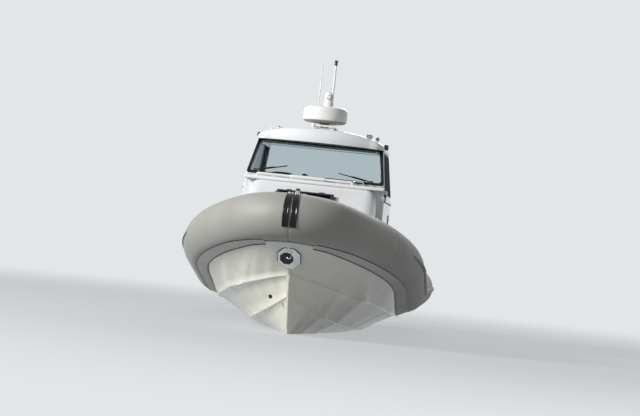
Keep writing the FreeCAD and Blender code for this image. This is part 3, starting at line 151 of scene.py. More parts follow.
class Surface(Enum):
    """The named finishes of the boat."""

    # Polyester gelcoat from a polished mould: wet gloss over a warm white, with faint water streaks.
    GELCOAT = Coat("moulded_gelcoat", "ece9db", "e0ddcf", 0.2, coat=0.4, mottle_mm=900, streak_mm=240,
        streak="bfbdb0", grain_mm=260, grain_depth=0.0005)
    # The same gelcoat, newer: a colder white on the wheelhouse, with an even gloss and no streaks.
    CABIN = Coat("wheelhouse_gelcoat", "ebecec", "e2e3e4", 0.18, coat=0.5, mottle_mm=700, grain_mm=260,
        grain_depth=0.0003)
    # Gelcoat with a diamond non-slip moulded in, each diamond about 9 mm, drawn at 16 mm.
    GRIP = Coat("moulded_non_slip", "c9cacb", "bcbdbe", 0.62, mottle_mm=350, stud_mm=16, grain_mm=5,
        grain_depth=0.0009)
    # Coated polyester fabric: satin, finely woven, with broad uneven patches where it was glued.
    # Its 0.7 mm threads are drawn at 7 mm.
    TUBE = Coat("coated_tube_fabric", "a09f98", "918f89", 0.55, sheen=0.12, mottle_mm=620, weave_mm=7,
        grain_mm=45, grain_depth=0.0005, streak_mm=420, streak="86857f")
    # The same fabric, thinner: paler, with a faint waviness.
    FLAP = Coat("tube_skirt_fabric", "c0bfb8", "b2b1aa", 0.5, sheen=0.1, mottle_mm=300, weave_mm=7,
        grain_mm=30, grain_depth=0.0004)
    # EPDM rubber from a heated mould: deep black with a wet shine on its ribs.
    RUBBER = Coat("moulded_rubber", "08080a", "101012", 0.2, ior=1.36, mottle_mm=70, grain_mm=12,
        grain_depth=0.0002)
    # Extruded rubber, dulled by salt and rubbing: dark grey, nearly matt, with pale scuffs.
    STRAKE = Coat("extruded_rubber", "26272a", "333437", 0.46, mottle_mm=60, grain_mm=9,
        grain_depth=0.0003, streak_mm=30, streak="46474a")
    # 316 stainless steel, electropolished: bright and cold, almost a mirror.
    STEEL = Coat("polished_stainless", "cfd1d3", "aeb2b6", 0.13, metallic=1.0, mottle_mm=60, grain_mm=9,
        grain_depth=0.0001)
    # The same steel as a thick plate, ground by hand: it dips in and out of shade in broad patches.
    PLATE = Coat("mirror_stainless", "f0efed", "c4c5c4", 0.09, metallic=1.0, mottle_mm=150, mottle=0.75,
        grain_mm=70, grain_depth=0.0006)
    # Toughened glass with a smoke tint: navy to black by day, with little shine of its own.
    SMOKED = Coat("smoked_window_glass", "080d18", "0d1524", 0.1, coat=0.06, specular=0.0, mottle_mm=300)
    # Clear toughened glass with the faint green of its iron.
    CLEAR = Coat("windscreen_glass", "c3d0d4", "bfcdd0", 0.01, transmission=1.0, ior=1.12, mottle_mm=600)
    # Ceramic frit printed on the glass, and the bedding under it: flat black behind a glassy shine. The
    # same black makes the sheet on the stem plate that is painted reflection.
    BAND = Coat("windscreen_frit", "08090a", "0d0e10", 0.16, coat=0.25, specular=0.15, mottle_mm=200,
        grain_mm=40, grain_depth=0.0001)
    # Glass-filled nylon and painted fittings: black with a fine orange-peel.
    BLACK = Coat("moulded_nylon", "131416", "1c1d20", 0.36, mottle_mm=60, grain_mm=2.5, grain_depth=0.0002)
    # Injection-moulded ABS: an even, milky white with a soft sheen.
    ABS = Coat("moulded_abs", "efefec", "e4e4e0", 0.26, coat=0.2, mottle_mm=150, grain_mm=18,
        grain_depth=0.0001)
    # The same ABS on the radome's lower tray, in a warm grey that is painted shade: the shadow on the
    # radome's underside.
    SHADED_TRAY = Coat("radome_underside_painted_shade", "a99b97", "9a8c89", 0.4, mottle_mm=90, grain_mm=8, grain_depth=0.0001)
    # Expanded marine vinyl, calendered with a leather grain of about 1.5 mm, drawn at 4 mm, which
    # breaks up its shine.
    VINYL = Coat("marine_vinyl", "26282c", "1c1e21", 0.46, sheen=0.06, mottle_mm=120, grain_mm=4,
        grain_depth=0.0008)
    # Vinyl cord sewn into the seams, paler where it is worn.
    PIPING = Coat("vinyl_piping", "6a6d71", "5c5f63", 0.4, mottle_mm=50, grain_mm=3, grain_depth=0.0002)
    # Baked enamel over cast aluminium: near black, with a deep gloss.
    DRIVE = Coat("drive_enamel", "24272a", "1b1e21", 0.3, coat=0.3, mottle_mm=90, grain_mm=7,
        grain_depth=0.0003)
    # Cast nickel-aluminium bronze, ground and polished: pale gold with blurred reflections.
    BRONZE = Coat("polished_propeller", "b9a27a", "a08a64", 0.22, metallic=1.0, mottle_mm=40, grain_mm=5,
        grain_depth=0.0002)
    # Engine paint over cast iron, thick and a little orange-peeled.
    IRON = Coat("painted_iron", "3f464b", "30363a", 0.42, mottle_mm=80, grain_mm=6, grain_depth=0.0008)
    # Coated glass, near black, and lamp lenses of clear moulded acrylic in red and green.
    LENS = Coat("camera_lens", "050608", "0c0f14", 0.03, coat=0.9, mottle_mm=40)
    RED = Coat("red_lamp_lens", "7c0a0e", "5e070a", 0.08, coat=0.8, mottle_mm=30)
    GREEN = Coat("green_lamp_lens", "0a5c34", "074426", 0.08, coat=0.8, mottle_mm=30)
    # Toughened glass over an unlit screen or dial: near black, with the sky sharp in it.
    DIAL = Coat("instrument_glass", "0e1216", "182026", 0.06, coat=0.7, mottle_mm=60)


class Paintwork:
    """Makes each finish once and gives it to the pieces that carry it."""

    def __init__(self) -> None:
        """Starts with no finish made."""
        self.made: dict[Surface, bpy.types.Material] = {}

    def get(self, surface: Surface) -> bpy.types.Material:
        """The material of a finish, made when it is first asked for.

        Args:
            surface: Which finish it is.

        Returns:
            The material.
        """
        if surface not in self.made:
            self.made[surface] = self.mix(surface.value)
        return self.made[surface]

    def colour(self, graph: Graph, coat: Coat, place: bpy.types.NodeSocket,
            patches: bpy.types.NodeSocket) -> bpy.types.NodeSocket:
        """The finish's colour: two tones in patches, with streaks where it has them.

        Args:
            graph: The material's nodes.
            coat: The finish.
            place: The object's coordinates.
            patches: The broad noise.

        Returns:
            The colour socket.
        """
        share = graph.add("Math", {0: patches, 1: coat.mottle * 2}, operation="MULTIPLY", use_clamp=True)
        tone = graph.add("Mix", {"Factor": share.outputs[0], "A": linear(coat.colour),
            "B": linear(coat.shade)}, data_type="RGBA")
        if not coat.streak:
            return tone.outputs["Result"]
        run = graph.add("Mapping", {"Vector": place, "Scale": (1.0, 1.0, 0.09)}).outputs["Vector"]
        lines = graph.add("TexNoise", {"Vector": run, "Scale": 1000 / coat.streak_mm, "Detail": 3.0})
        faint = graph.add("MapRange", {"Value": lines.outputs["Fac"], "From Min": 0.5, "From Max": 0.9,
            "To Max": 0.4})
        stained = graph.add("Mix", {"Factor": faint.outputs["Result"], "A": tone.outputs["Result"],
            "B": linear(coat.streak)}, data_type="RGBA")
        return stained.outputs["Result"]

    def relief(self, graph: Graph, coat: Coat, place: bpy.types.NodeSocket) -> bpy.types.NodeSocket:
        """The height of the finish's fine pattern.

        Args:
            graph: The material's nodes.
            coat: The finish.
            place: The object's coordinates.

        Returns:
            The height socket.
        """
        grain = graph.add("TexNoise", {"Vector": place, "Scale": 1000 / coat.grain_mm, "Detail": 3.0})
        height = grain.outputs["Fac"]
        if coat.weave_mm:
            threads = [graph.add("TexWave", {"Vector": place, "Scale": 1000 / coat.weave_mm / 6.3},
                wave_type="BANDS", bands_direction=axis).outputs["Fac"] for axis in ("X", "Y", "Z")]
            cross = graph.add("Math", {0: threads[0], 1: threads[1]}, operation="MAXIMUM").outputs[0]
            cloth = graph.add("Math", {0: cross, 1: threads[2]}, operation="MULTIPLY").outputs[0]
            height = graph.add("Math", {0: height, 1: cloth}, operation="ADD").outputs[0]
        if coat.stud_mm:
            diagonal = (0.0, 0.0, radians(45))
            turned = graph.add("Mapping", {"Vector": place, "Rotation": diagonal}).outputs["Vector"]
            studs = graph.add("TexVoronoi", {"Vector": turned, "Scale": 1000 / coat.stud_mm,
                "Randomness": 0.0}, distance="CHEBYCHEV")
            raised = graph.add("MapRange", {"Value": studs.outputs["Distance"], "From Min": 0.28,
                "From Max": 0.4, "To Min": 1.5, "To Max": 0.0})
            height = graph.add("Math", {0: height, 1: raised.outputs["Result"]}, operation="ADD").outputs[0]
        return height

    def mix(self, coat: Coat) -> bpy.types.Material:
        """Builds one finish from its coat.

        Args:
            coat: Its name, colours, gloss and pattern.

        Returns:
            The material.
        """
        material = bpy.data.materials.new(coat.name)
        material.use_nodes = True
        material.node_tree.nodes.clear()
        graph = Graph(material.node_tree)
        place = graph.add("TexCoord").outputs["Object"]
        mottle = graph.add("TexNoise", {"Vector": place, "Scale": 1000 / coat.mottle_mm, "Detail": 4.0})
        patches = mottle.outputs["Fac"]
        wear = graph.add("MapRange", {"Value": patches, "To Min": coat.roughness * 0.75,
            "To Max": coat.roughness * 1.3})
        links: dict = {"Base Color": self.colour(graph, coat, place, patches),
            "Roughness": wear.outputs["Result"], "Metallic": coat.metallic, "Coat Weight": coat.coat,
            "Coat Roughness": 0.08, "Sheen Weight": coat.sheen, "Transmission Weight": coat.transmission}
        if coat.metallic == 0:
            links.update({"IOR": coat.ior, "Specular IOR Level": coat.specular})
        if coat.grain_depth:
            bump = graph.add("Bump", {"Height": self.relief(graph, coat, place), "Strength": 0.4,
                "Distance": coat.grain_depth})
            links["Normal"] = bump.outputs["Normal"]
        shader = graph.add("BsdfPrincipled", links)
        graph.add("OutputMaterial", {"Surface": shader.outputs["BSDF"]})
        return material


PAINT = Paintwork()


def publish(name: str, shape: Shape, surface: Surface, body: str = "boat", stands_for: Sequence[str] = (),
        crease: float = 35.0) -> bpy.types.Object:
    """Puts a finished shape into the scene as a piece that rides on a body.

    Args:
        name: The piece's name.
        shape: Its shape, already in the boat's frame. It is freed.
        surface: Its finish.
        body: The body it rides on.
        stands_for: Solid nodes that it replaces.
        crease: The angle in degrees past which an edge stays sharp.

    Returns:
        The new object.
    """
    bmesh.ops.remove_doubles(shape, verts=shape.verts, dist=1e-5)
    bmesh.ops.recalc_face_normals(shape, faces=shape.faces)
    mesh = bpy.data.meshes.new(name)
    shape.to_mesh(mesh)
    shape.free()
    mesh.shade_smooth()
    mesh.set_sharp_from_angle(angle=radians(crease))
    mesh.materials.append(PAINT.get(surface))
    piece = bpy.data.objects.new(name, mesh)
    bpy.context.scene.collection.objects.link(piece)
    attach(piece, body)
    if stands_for:
        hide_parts(*stands_for)
    LOG.info("piece %s: %d faces", name, len(mesh.polygons))
    return piece


def publish_side(side: str, part: str, shape: Shape, surface: Surface, stands_for: Sequence[str] = (),
        crease: float = 35.0) -> None:
    """Puts a port shape, or its starboard twin, into the scene as a piece named for its side."""
    twin = mirrored(shape) if SIDES[side] == STARBOARD else shape
    publish("%s_%s" % (part, side), twin, surface, stands_for=stands_for, crease=crease)


def box_corners(node: str) -> tuple[Vector, Vector]:
    """The low and the high corner of a solid node's box."""
    low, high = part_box(node)
    return Vector(low), Vector(high)


def circle(centre: Vector, across: Vector, up: Vector, radius: float, sides: int) -> Ring:
    """Evenly spaced points round a centre, in the plane of two directions."""
    turns = (tau * k / sides for k in range(sides))
    return [centre + (across * cos(a) + up * sin(a)) * radius for a in turns]


def drape(rings: Sequence[Ring], closed: bool = False, capped: bool = False) -> Shape:
    """A grid laid through rings of points that all have the same count.

    Args:
        rings: The rings, in order along the shape.
        closed: Whether each ring comes back to its start.
        capped: Whether the first and last ring are filled.

    Returns:
        The shape.
    """
    rows = [list(ring) + [ring[0]] for ring in rings] if closed else [list(ring) for ring in rings]
    along, round_ = len(rows) - 1, len(rows[0]) - 1
    shape = bmesh.new()
    bmesh.ops.create_grid(shape, x_segments=along, y_segments=round_, size=0.5)
    for vert in shape.verts:
        vert.co = rows[round((vert.co.x + 0.5) * along)][round((vert.co.y + 0.5) * round_)]
    bmesh.ops.remove_doubles(shape, verts=shape.verts, dist=1e-6)
    if capped:
        bmesh.ops.holes_fill(shape, edges=shape.edges)
    return shape


def together(*shapes: Shape) -> Shape:
    """Puts several shapes into one, and frees the others.

    Args:
        *shapes: The shapes.

    Returns:
        The first shape, which holds them all.
    """
    whole = shapes[0]
    for other in shapes[1:]:
        mesh = bpy.data.meshes.new("part")
        other.to_mesh(mesh)
        other.free()
        whole.from_mesh(mesh)
        bpy.data.meshes.remove(mesh)
    return whole


def mirrored(shape: Shape) -> Shape:
    """Turns a port shape into its starboard twin.

    Args:
        shape: The shape.

    Returns:
        The same shape, mirrored.
    """
    bmesh.ops.scale(shape, vec=(-1.0, 1.0, 1.0), verts=shape.verts)
    bmesh.ops.reverse_faces(shape, faces=shape.faces)
    return shape


def block(size: Sequence[float], place: Sequence[float], round_: float = 0.0, segments: int = 3,
        turn: Optional[Matrix] = None) -> Shape:
    """A box about a point, with rounded edges.

    Args:
        size: Its width, depth and height.
        place: Its middle.
        round_: The edge radius.
        segments: How many steps the rounding has.
        turn: A rotation about the middle.

    Returns:
        The shape.
    """
    shape = bmesh.new()
    bmesh.ops.create_cube(shape, size=1.0)
    bmesh.ops.scale(shape, vec=tuple(size), verts=shape.verts)
    if round_:
        bmesh.ops.bevel(shape, geom=shape.edges[:], offset=round_, offset_type="OFFSET", segments=segments,
            profile=0.5, affect="EDGES", material=-1, clamp_overlap=True)
    if turn is not None:
        bmesh.ops.transform(shape, matrix=turn.to_4x4(), verts=shape.verts)
    bmesh.ops.translate(shape, vec=tuple(place), verts=shape.verts)
    return shape


def mm(pairs: Sequence[tuple[float, float]]) -> list[tuple[float, float]]:
    """Turns pairs of millimetres into metres."""
    return [(across / 1000, along / 1000) for across, along in pairs]


def lathe(profile: Sequence[tuple[float, float]], place: Sequence[float],
        axis: Sequence[float] = (0, 0, 1), steps: int = 40) -> Shape:
    """A turned shape.

    Args:
        profile: Radius and height pairs, from one end to the other.
        place: The foot of the axis.
        axis: The direction of the axis.
        steps: How many steps the turn has.

    Returns:
        The shape.
    """
    shape = bmesh.new()
    verts = [shape.verts.new((radius, 0.0, height)) for radius, height in profile]
    edges = [shape.edges.new(pair) for pair in zip(verts, verts[1:])]
    bmesh.ops.spin(shape, geom=verts + edges, cent=(0, 0, 0), axis=(0, 0, 1), angle=tau, steps=steps,
        use_merge=True)
    bmesh.ops.remove_doubles(shape, verts=shape.verts, dist=1e-5)
    bmesh.ops.holes_fill(shape, edges=shape.edges)
    turn = Vector(axis).to_track_quat("Z", "Y").to_matrix().to_4x4()
    bmesh.ops.transform(shape, matrix=Matrix.Translation(place) @ turn, verts=shape.verts)
    return shape


def bar(points: Sequence[Sequence[float]], radius: float, bend: float = 0.0, steps: int = 12) -> Shape:
    """A round bar along a line with rounded corners.

    Args:
        points: The line's corners.
        radius: The bar's radius.
        bend: How far before and after a corner the rounding starts.
        steps: How many sides the bar has.

    Returns:
        The shape.
    """
    corners = [Vector(point) for point in points]
    line = [corners[0]]
    for before, here, after in zip(corners, corners[1:], corners[2:]):
        into, out = (here - before).normalized() * bend, (after - here).normalized() * bend
        start, end = here - into, here + out
        corner = [start.lerp(here, t).lerp(here.lerp(end, t), t) for t in (0.0, 0.2, 0.4, 0.6, 0.8, 1.0)]
        line += corner if bend else [here]
    line.append(corners[-1])
    rings = []
    across = (line[1] - line[0]).orthogonal().normalized()
    for index, here in enumerate(line):
        ahead = (line[min(index + 1, len(line) - 1)] - line[max(index - 1, 0)]).normalized()
        across = (across - ahead * across.dot(ahead)).normalized()
        rings.append(circle(here, across, ahead.cross(across), radius, steps))
    return drape(rings, closed=True, capped=True)


def steps(first: float, last: float, count: int) -> list[float]:
    """Evenly spaced values from the first to the last."""
    return [first + (last - first) * k / (count - 1) for k in range(count)]


@dataclass(frozen=True)
class Sheer:
    """The line that both air tubes follow from the stem aft, with the hull's rim under it."""

    tube: float = 0.270
    half_beam: float = 1.2
    nose_radius: float = 0.582
    nose_turn: float = radians(54)
    slope: float = radians(11.2)
    run: float = 3.869
    ease: float = 3.0
    nose_y: float = -4.6
    nose_z: float = 1.34
    rim_inset: float = 0.05
    rim_lift: float = -0.2697

    @property
    def shoulder(self) -> float:
        """The radius of the shoulder arc, which ends square to the beam."""
        bow = sin(self.nose_turn)
        return (self.half_beam - self.nose_radius * bow) / (1 - bow)

    @property
    def tangent(self) -> float:
        """How far before the knuckle the slope starts to ease."""
        return self.ease * tan(self.slope / 2)

    @property
    def shoulder_run(self) -> float:
        """How far down the slope the shoulder arc's centre lies."""
        return self.nose_radius + (self.shoulder - self.nose_radius) * cos(self.nose_turn)

    @property
    def lengths(self) -> tuple[float, float, float, float]:
        """The lengths of the nose arc, the shoulder arc, the slope and the easing."""
        return (self.nose_radius * self.nose_turn, self.shoulder * (pi / 2 - self.nose_turn),
            self.run - self.tangent - self.shoulder_run, self.ease * self.slope)

    @property
    def level_y(self) -> float:
        """Where the tube's level run starts."""
        return self.nose_y + self.run * cos(self.slope) + self.tangent

    @property
    def level_z(self) -> float:
        """The height of the tube's level run."""
        return self.nose_z - self.run * sin(self.slope)

    def sloped(self, x: float, down: float, lift: float) -> Vector:
        """A point of the sloping plane: x to port, down the slope from the nose, lifted square to it."""
        away, up = cos(self.slope), sin(self.slope)
        return Vector((x, self.nose_y + down * away + lift * up, self.nose_z - down * up + lift * away))

    def beside(self, distance: float, inset: float, lift: float) -> Vector:
        """A point beside the port tube's centreline.

        Args:
            distance: How far along the line from the stem.
            inset: How far inboard of it.
            lift: How far above it.

        Returns:
            The point.
        """
        nose, shoulder, slope, ease = self.lengths
        if distance < nose:
            turn, reach = distance / self.nose_radius, self.nose_radius - inset
            return self.sloped(reach * sin(turn), self.nose_radius - reach * cos(turn), lift)
        distance -= nose
        if distance < shoulder:
            turn, reach = self.nose_turn + distance / self.shoulder, self.shoulder - inset
            return self.sloped(self.half_beam - self.shoulder + reach * sin(turn),
                self.shoulder_run - reach * cos(turn), lift)
        distance -= shoulder
        if distance < slope:
            return self.sloped(self.half_beam - inset, self.shoulder_run + distance, lift)
        distance -= slope
        if distance < ease:
            angle, reach = self.slope - distance / self.ease, self.ease - lift
            return Vector((self.half_beam - inset, self.level_y - reach * sin(angle),
                self.level_z + self.ease - reach * cos(angle)))
        return Vector((self.half_beam - inset, self.level_y + distance - ease, self.level_z + lift))

    def around(self, distance: float, angle: float, reach: float) -> Vector:
        """A point round the port tube, at an angle in degrees up from outboard."""
        turn = radians(angle)
        return self.beside(distance, -reach * cos(turn), reach * sin(turn))

    def turned(self, degrees: float) -> float:
        """The distance at which the line has turned by an angle in degrees from the stem.

        Args:
            degrees: The angle.

        Returns:
            The distance.
        """
        turn = radians(degrees)
        if turn < self.nose_turn:
            return turn * self.nose_radius
        return self.lengths[0] + (turn - self.nose_turn) * self.shoulder

    def station(self, y: float) -> float:
        """The distance at which the level run reaches a station."""
        return sum(self.lengths) + y - self.level_y

    def rim(self, distance: float) -> Vector:
        """A point of the hull's rim."""
        return self.beside(distance, self.rim_inset, self.rim_lift)


SHEER = Sheer()


@dataclass(frozen=True)
class AirTubes:
    """The inflatable collar's two chambers, with their cones, seams and valves."""

    sheer: Sheer = SHEER
    end_y: float = 3.15
    cone: float = 0.38
    tip: float = 0.12
    sides: int = 56
    seam_width: float = 0.045
    seam_lift: float = 0.0013
    seams: tuple[float, ...] = (1.55, 3.1, 4.62, 6.15, 7.68)
    valves: tuple[float, ...] = (2.2, 5.3)
    valve_angle: float = 148.0

    def radius(self, distance: float) -> float:
        """The tube's radius, which closes at the stem seam and tapers in the stern cone.

        Args:
            distance: The place along the tube.

        Returns:
            The radius.
        """
        past = distance - self.sheer.station(self.end_y)
        if past > 0:
            share = min(1, past / self.cone)
            return self.sheer.tube - (self.sheer.tube - self.tip) * share * (0.86 + 0.14 * share)
        groove = max(0, 1 - distance / 0.012)
        return self.sheer.tube - 0.007 * groove * groove

    def ring(self, distance: float, radius: float) -> Ring:
        """The points round the port tube at a place along it."""
        return [self.sheer.around(distance, 360 * k / self.sides, radius) for k in range(self.sides)]

    def chamber(self) -> Shape:
        """The port chamber's skin from the stem seam to the end of its cone.

        Returns:
            The shape.
        """
        end = self.sheer.station(self.end_y)
        stations = [0, 0.004, 0.008, 0.012] + steps(0.05, end, 150) + steps(end + 0.02, end + self.cone, 14)
        rings = [self.ring(distance, self.radius(distance)) for distance in stations]
        tip = stations[-1]
        closing = ((-0.004, 0.9), (-0.006, 0.6), (-0.006, 0.2))
        rings += [self.ring(tip + out, self.tip * share) for out, share in closing]
        return drape(rings, closed=True, capped=True)

    def seam(self, middle: float) -> Shape:
        """A glued band round the port tube over the join of two panels.

        Args:
            middle: The place of its middle along the tube.

        Returns:
            The shape.
        """
        half, lift = self.seam_width / 2, self.seam_lift
        profile = ((-half - 0.002, -0.001), (-half, lift), (0, 1.15 * lift), (half, lift),
            (half + 0.002, -0.001))
        return drape([self.ring(middle + along, self.radius(middle) + up) for along, up in profile],
            closed=True)

    def cap(self) -> Shape:
        """The moulded cap on the cone's tip, with a ridge round it.

        Returns:
            The shape.
        """
        tip = self.sheer.around(self.sheer.station(self.end_y + self.cone), 0, 0)
        return lathe(mm([(0, 4), (60, 3), (100, 0), (122, -8), (131, -30), (129, -50), (120, -52)]), tip,
            (0, 1, 0), 48)

    def valve(self, distance: float) -> Shape:
        """An inflation valve let into the tube's inner face.

        Args:
            distance: The place along the tube.

        Returns:
            The shape.
        """
        angle = self.valve_angle
        foot = self.sheer.around(distance, angle, self.sheer.tube - 0.001)
        out = self.sheer.around(distance, angle, 1) - self.sheer.around(distance, angle, 0)
        return lathe(mm([(36, 0), (36, 4), (30, 8), (24, 8), (22, 13), (8, 14), (0, 14)]), foot, out, 28)

    def build(self) -> None:
        """Builds both chambers and what is glued to them."""
        for side in SIDES:
            bands = together(*[self.seam(distance) for distance in self.seams])
            valves = together(*[self.valve(distance) for distance in self.valves])
            publish_side(side, "tube", self.chamber(), Surface.TUBE, ["collar_" + side], 50)
            publish_side(side, "tube_bands", bands, Surface.TUBE, crease=60)
            publish_side(side, "cone_cap", self.cap(), Surface.STRAKE)
            publish_side(side, "valves", valves, Surface.BLACK)


@dataclass(frozen=True)
class Rubbing:
    """Rubber on the tubes: the ribbed nose pads and the strake along each side."""

    sheer: Sheer = SHEER
    pad_start: float = 0.0068
    pad_width: float = 0.0495
    pad_angles: tuple[float, float] = (-36, 100)
    strake_turn: float = 76.0
    strake_end: float = 3.15
    strake_taper: float = 0.9

    def pad(self) -> Shape:
        """The port nose pad: a moulding with a rounded bead along each edge and a rib between.

        Returns:
            The shape.
        """
        profile = [(0, 0), (0, 0.55), (0.05, 0.9), (0.12, 1), (0.2, 0.92), (0.26, 0.5), (0.4, 0.42),
            (0.46, 0.62), (0.54, 0.62), (0.6, 0.42), (0.74, 0.5), (0.8, 0.92), (0.88, 1), (0.95, 0.9),
            (1, 0.55), (1, 0)]
        low, high = self.pad_angles
        rings = []
        starts, ends = [low, low + 0.4, low + 1.2], [high - 1.2, high - 0.4, high]
        for angle in starts + steps(low + 3, high - 3, 44) + ends:
            near = min(angle - low, high - angle)
            full = min(1, 0.25 + sqrt(max(0, near) / 3))
            ring = []
            for share, lift in profile:
                reach = self.sheer.tube + 0.0004 + 0.0125 * lift * full
                narrow = (1 - full) * 0.12 * (0.5 - share)
                distance = self.pad_start + self.pad_width * (share + narrow)
                ring.append(self.sheer.around(distance, angle, reach))
            rings.append(ring)
        return drape(rings, closed=True, capped=True)

    def strake(self) -> Shape:
        """The port strake: a ridged rubber section that tapers in at its forward end.

        Returns:
            The shape.
        """
        profile = [(-8, 0), (-7.4, 0.45), (-6, 0.62), (-4.6, 0.55), (-3.6, 0.8), (-2.2, 1), (-0.7, 0.96),
            (0, 0.82), (0.7, 0.96), (2.2, 1), (3.6, 0.8), (4.6, 0.55), (6, 0.62), (7.4, 0.45), (8, 0)]
        start, end = self.sheer.turned(self.strake_turn), self.sheer.station(self.strake_end)
        rings = []
        for distance in [start, start + 0.02] + steps(start + 0.06, end - 0.03, 110) + [end]:
            share = min(1, 0.18 + (distance - start) / self.strake_taper)
            full = share * min(1, 0.7 + (end - distance) / 0.08)
            spread, foot = 0.35 + 0.65 * share, self.sheer.tube + 0.0004
            rings.append([self.sheer.around(distance, angle * spread, foot + 0.0216 * lift * full)
                for angle, lift in profile])
        return drape(rings, closed=True, capped=True)

    def build(self) -> None:
        """Builds the pads and strakes on both sides."""
        for side in SIDES:
            publish_side(side, "nose_pad_rubber", self.pad(), Surface.RUBBER, ["nose_pad_" + side], 50)
            publish_side(side, "strake_rubber", self.strake(), Surface.STRAKE, ["strake_" + side], 50)


# Place along the rim, then chine x, aft, z; spray rail x, aft, z; keel aft, z; and the share of the flats.
HullRow = tuple[float, float, float, float, float, float, float, float, float, float]


@dataclass(frozen=True)
class HullShell:
    """The moulded hull: a deep V with a chine and a spray rail each side, and the lip under the tube."""

    sheer: Sheer = SHEER
    stem_half: float = 0.012
    chine_flat: float = 0.046
    rail_flat: float = 0.038
    steps_between: int = 6
    skirt_turn: float = 30.0
    skirt_end: float = 2.98
    skirt_opening: float = 0.5
    drain_place: Vector = Vector((-0.21, -3.9, 0.42))
    drain_way: Vector = Vector((-0.62, -0.66, -0.42))

    def rows(self) -> list[HullRow]:
        """The drawn sections, from the stem to the transom, in metres aft of the nose.

        Returns:
            The sections.
        """
        along, level = self.sheer, sum(self.sheer.lengths)
        start = level - self.sheer.level_y + self.sheer.nose_y
        sloped = along.lengths[0] + along.lengths[1] - along.shoulder_run
        knuckle = self.sheer.level_y - self.sheer.nose_y
        return [(along.turned(1.2), 0.012, 0.47, 0.69, 0.012, 0.64, 0.44, 0.93, 0.11, 0.16),
            (along.turned(22), 0.21, 0.64, 0.64, 0.138, 0.9, 0.35, 1.08, 0, 0.45),
            (along.turned(42), 0.405, 0.9, 0.578, 0.258, 1.18, 0.268, 1.28, -0.07, 0.75),
            (along.turned(54), 0.535, 1.11, 0.535, 0.335, 1.4, 0.222, 1.46, -0.108, 0.88),
            (along.turned(66), 0.79, 1.72, 0.45, 0.48, 1.96, 0.145, 2, -0.145, 1),
            (along.turned(78), 0.965, 2.56, 0.365, 0.59, 2.68, 0.092, 2.72, -0.15, 1),
            (sloped + 2.9, 1.045, 3.05, 0.305, 0.64, 3.12, 0.06, 3.12, -0.15, 1),
            (level - along.lengths[3], 1.072, 3.56, 0.272, 0.658, 3.58, 0.045, 3.58, -0.15, 1),
            (level, 1.085, knuckle, 0.256, 0.668, knuckle, 0.035, knuckle, -0.15, 1),
            (start + 5.8, 1.09, 5.8, 0.249, 0.672, 5.8, 0.029, 5.8, -0.15, 1),
            (start + 7.6, 1.09, 7.6, 0.242, 0.672, 7.6, 0.025, 7.6, -0.15, 1)]

    def section(self, row: HullRow) -> Ring:
        """The port points of one drawn section, from the keel up to the rim.

        Args:
            row: The drawn section.

        Returns:
            The points.
        """
        _, chine_x, chine_aft, chine_z, rail_x, rail_aft, rail_z, keel_aft, keel_z, share = row
        nose, rail, chine = self.sheer.nose_y, self.rail_flat * share, self.chine_flat * share
        points = [(self.stem_half, keel_aft, keel_z), (rail_x, rail_aft, rail_z),
            (rail_x + rail, rail_aft, rail_z - 0.1 * rail),
            (rail_x + rail * 0.92, rail_aft, rail_z + 0.42 * rail),
            (chine_x, chine_aft, chine_z),
            (chine_x + chine, chine_aft, chine_z - 0.1 * chine),
            (chine_x + chine * 0.92, chine_aft, chine_z + 0.45 * chine)]
        return [Vector((x, nose + aft, z)) for x, aft, z in points] + [self.sheer.rim(row[0])]

    @staticmethod
    def between(before: Vector, start: Vector, end: Vector, after: Vector, share: float) -> Vector:
        """A point on the smooth curve from start to end, which heads off as its neighbours tell it.

        Args:
            before: The point before the start.
            start: Where the curve starts.
            end: Where it ends.
            after: The point after the end.
            share: How far along the curve, from 0 to 1.

        Returns:
            The point.
        """
        into, out, span = ((b - a).length ** 0.5 for a, b in ((before, start), (end, after), (start, end)))
        step = end - start
        leave = reach = step
        if into > 0.03:
            leave = (end - before) * (span / (into + span)) - (start - before) * (span / into) + step
        if out > 0.03:
            reach = (after - start) * (span / (out + span)) - (after - end) * (span / out) + step
        square, cube = share * share, share ** 3
        near = start * (2 * cube - 3 * square + 1) + leave * (cube - 2 * square + share)
        return near + end * (3 * square - 2 * cube) + reach * (cube - square)

    def faired(self) -> list[Ring]:
        """The port sections, closely spaced, with their rims on the tube's line.

        Returns:
            The sections, from the stem aft.
        """
        rows = self.rows()
        drawn = [self.section(row) for row in rows]
        lines = []
        for index in range(len(drawn) - 1):
            near, far = drawn[index], drawn[index + 1]
            before, after = drawn[max(index - 1, 0)], drawn[min(index + 2, len(drawn) - 1)]
            for step in range(self.steps_between):
                share = step / self.steps_between
                lanes = zip(before, near, far, after)
                line = [self.between(*four, share) for four in lanes] if step else list(near)
                line[-1] = self.sheer.rim(rows[index][0] + (rows[index + 1][0] - rows[index][0]) * share)
                lines.append(line)
        return lines + [drawn[-1]]

    def skin(self) -> Shape:
        """The hull's outside, both sides, with a rounded stem and keel.

        Returns:
            The shape.
        """
        panels = (4, 1, 1, 3, 1, 1, 6)
        sheets = []
        for line in self.faired():
            ring = [Vector((0, line[0].y, line[0].z - 0.006)), line[0]]
            for panel, (low, high) in zip(panels, zip(line, line[1:])):
                ring += [low.lerp(high, k / panel) for k in range(1, panel + 1)]
            sheets.append(ring)
        stem = []
        for index, point in enumerate(sheets[0]):
            above, below = sheets[0][min(index + 1, len(sheets[0]) - 1)], sheets[0][max(index - 1, 1)]
            run = (above - below).normalized()
            stem.append(Vector((0, point.y, point.z)) + Vector((0, -abs(run.z), -abs(run.y))) * 0.006)
        stem[0] = stem[1].copy()
        port = drape([stem] + sheets)
        starboard = mirrored(drape([stem] + sheets))
        return together(port, starboard)

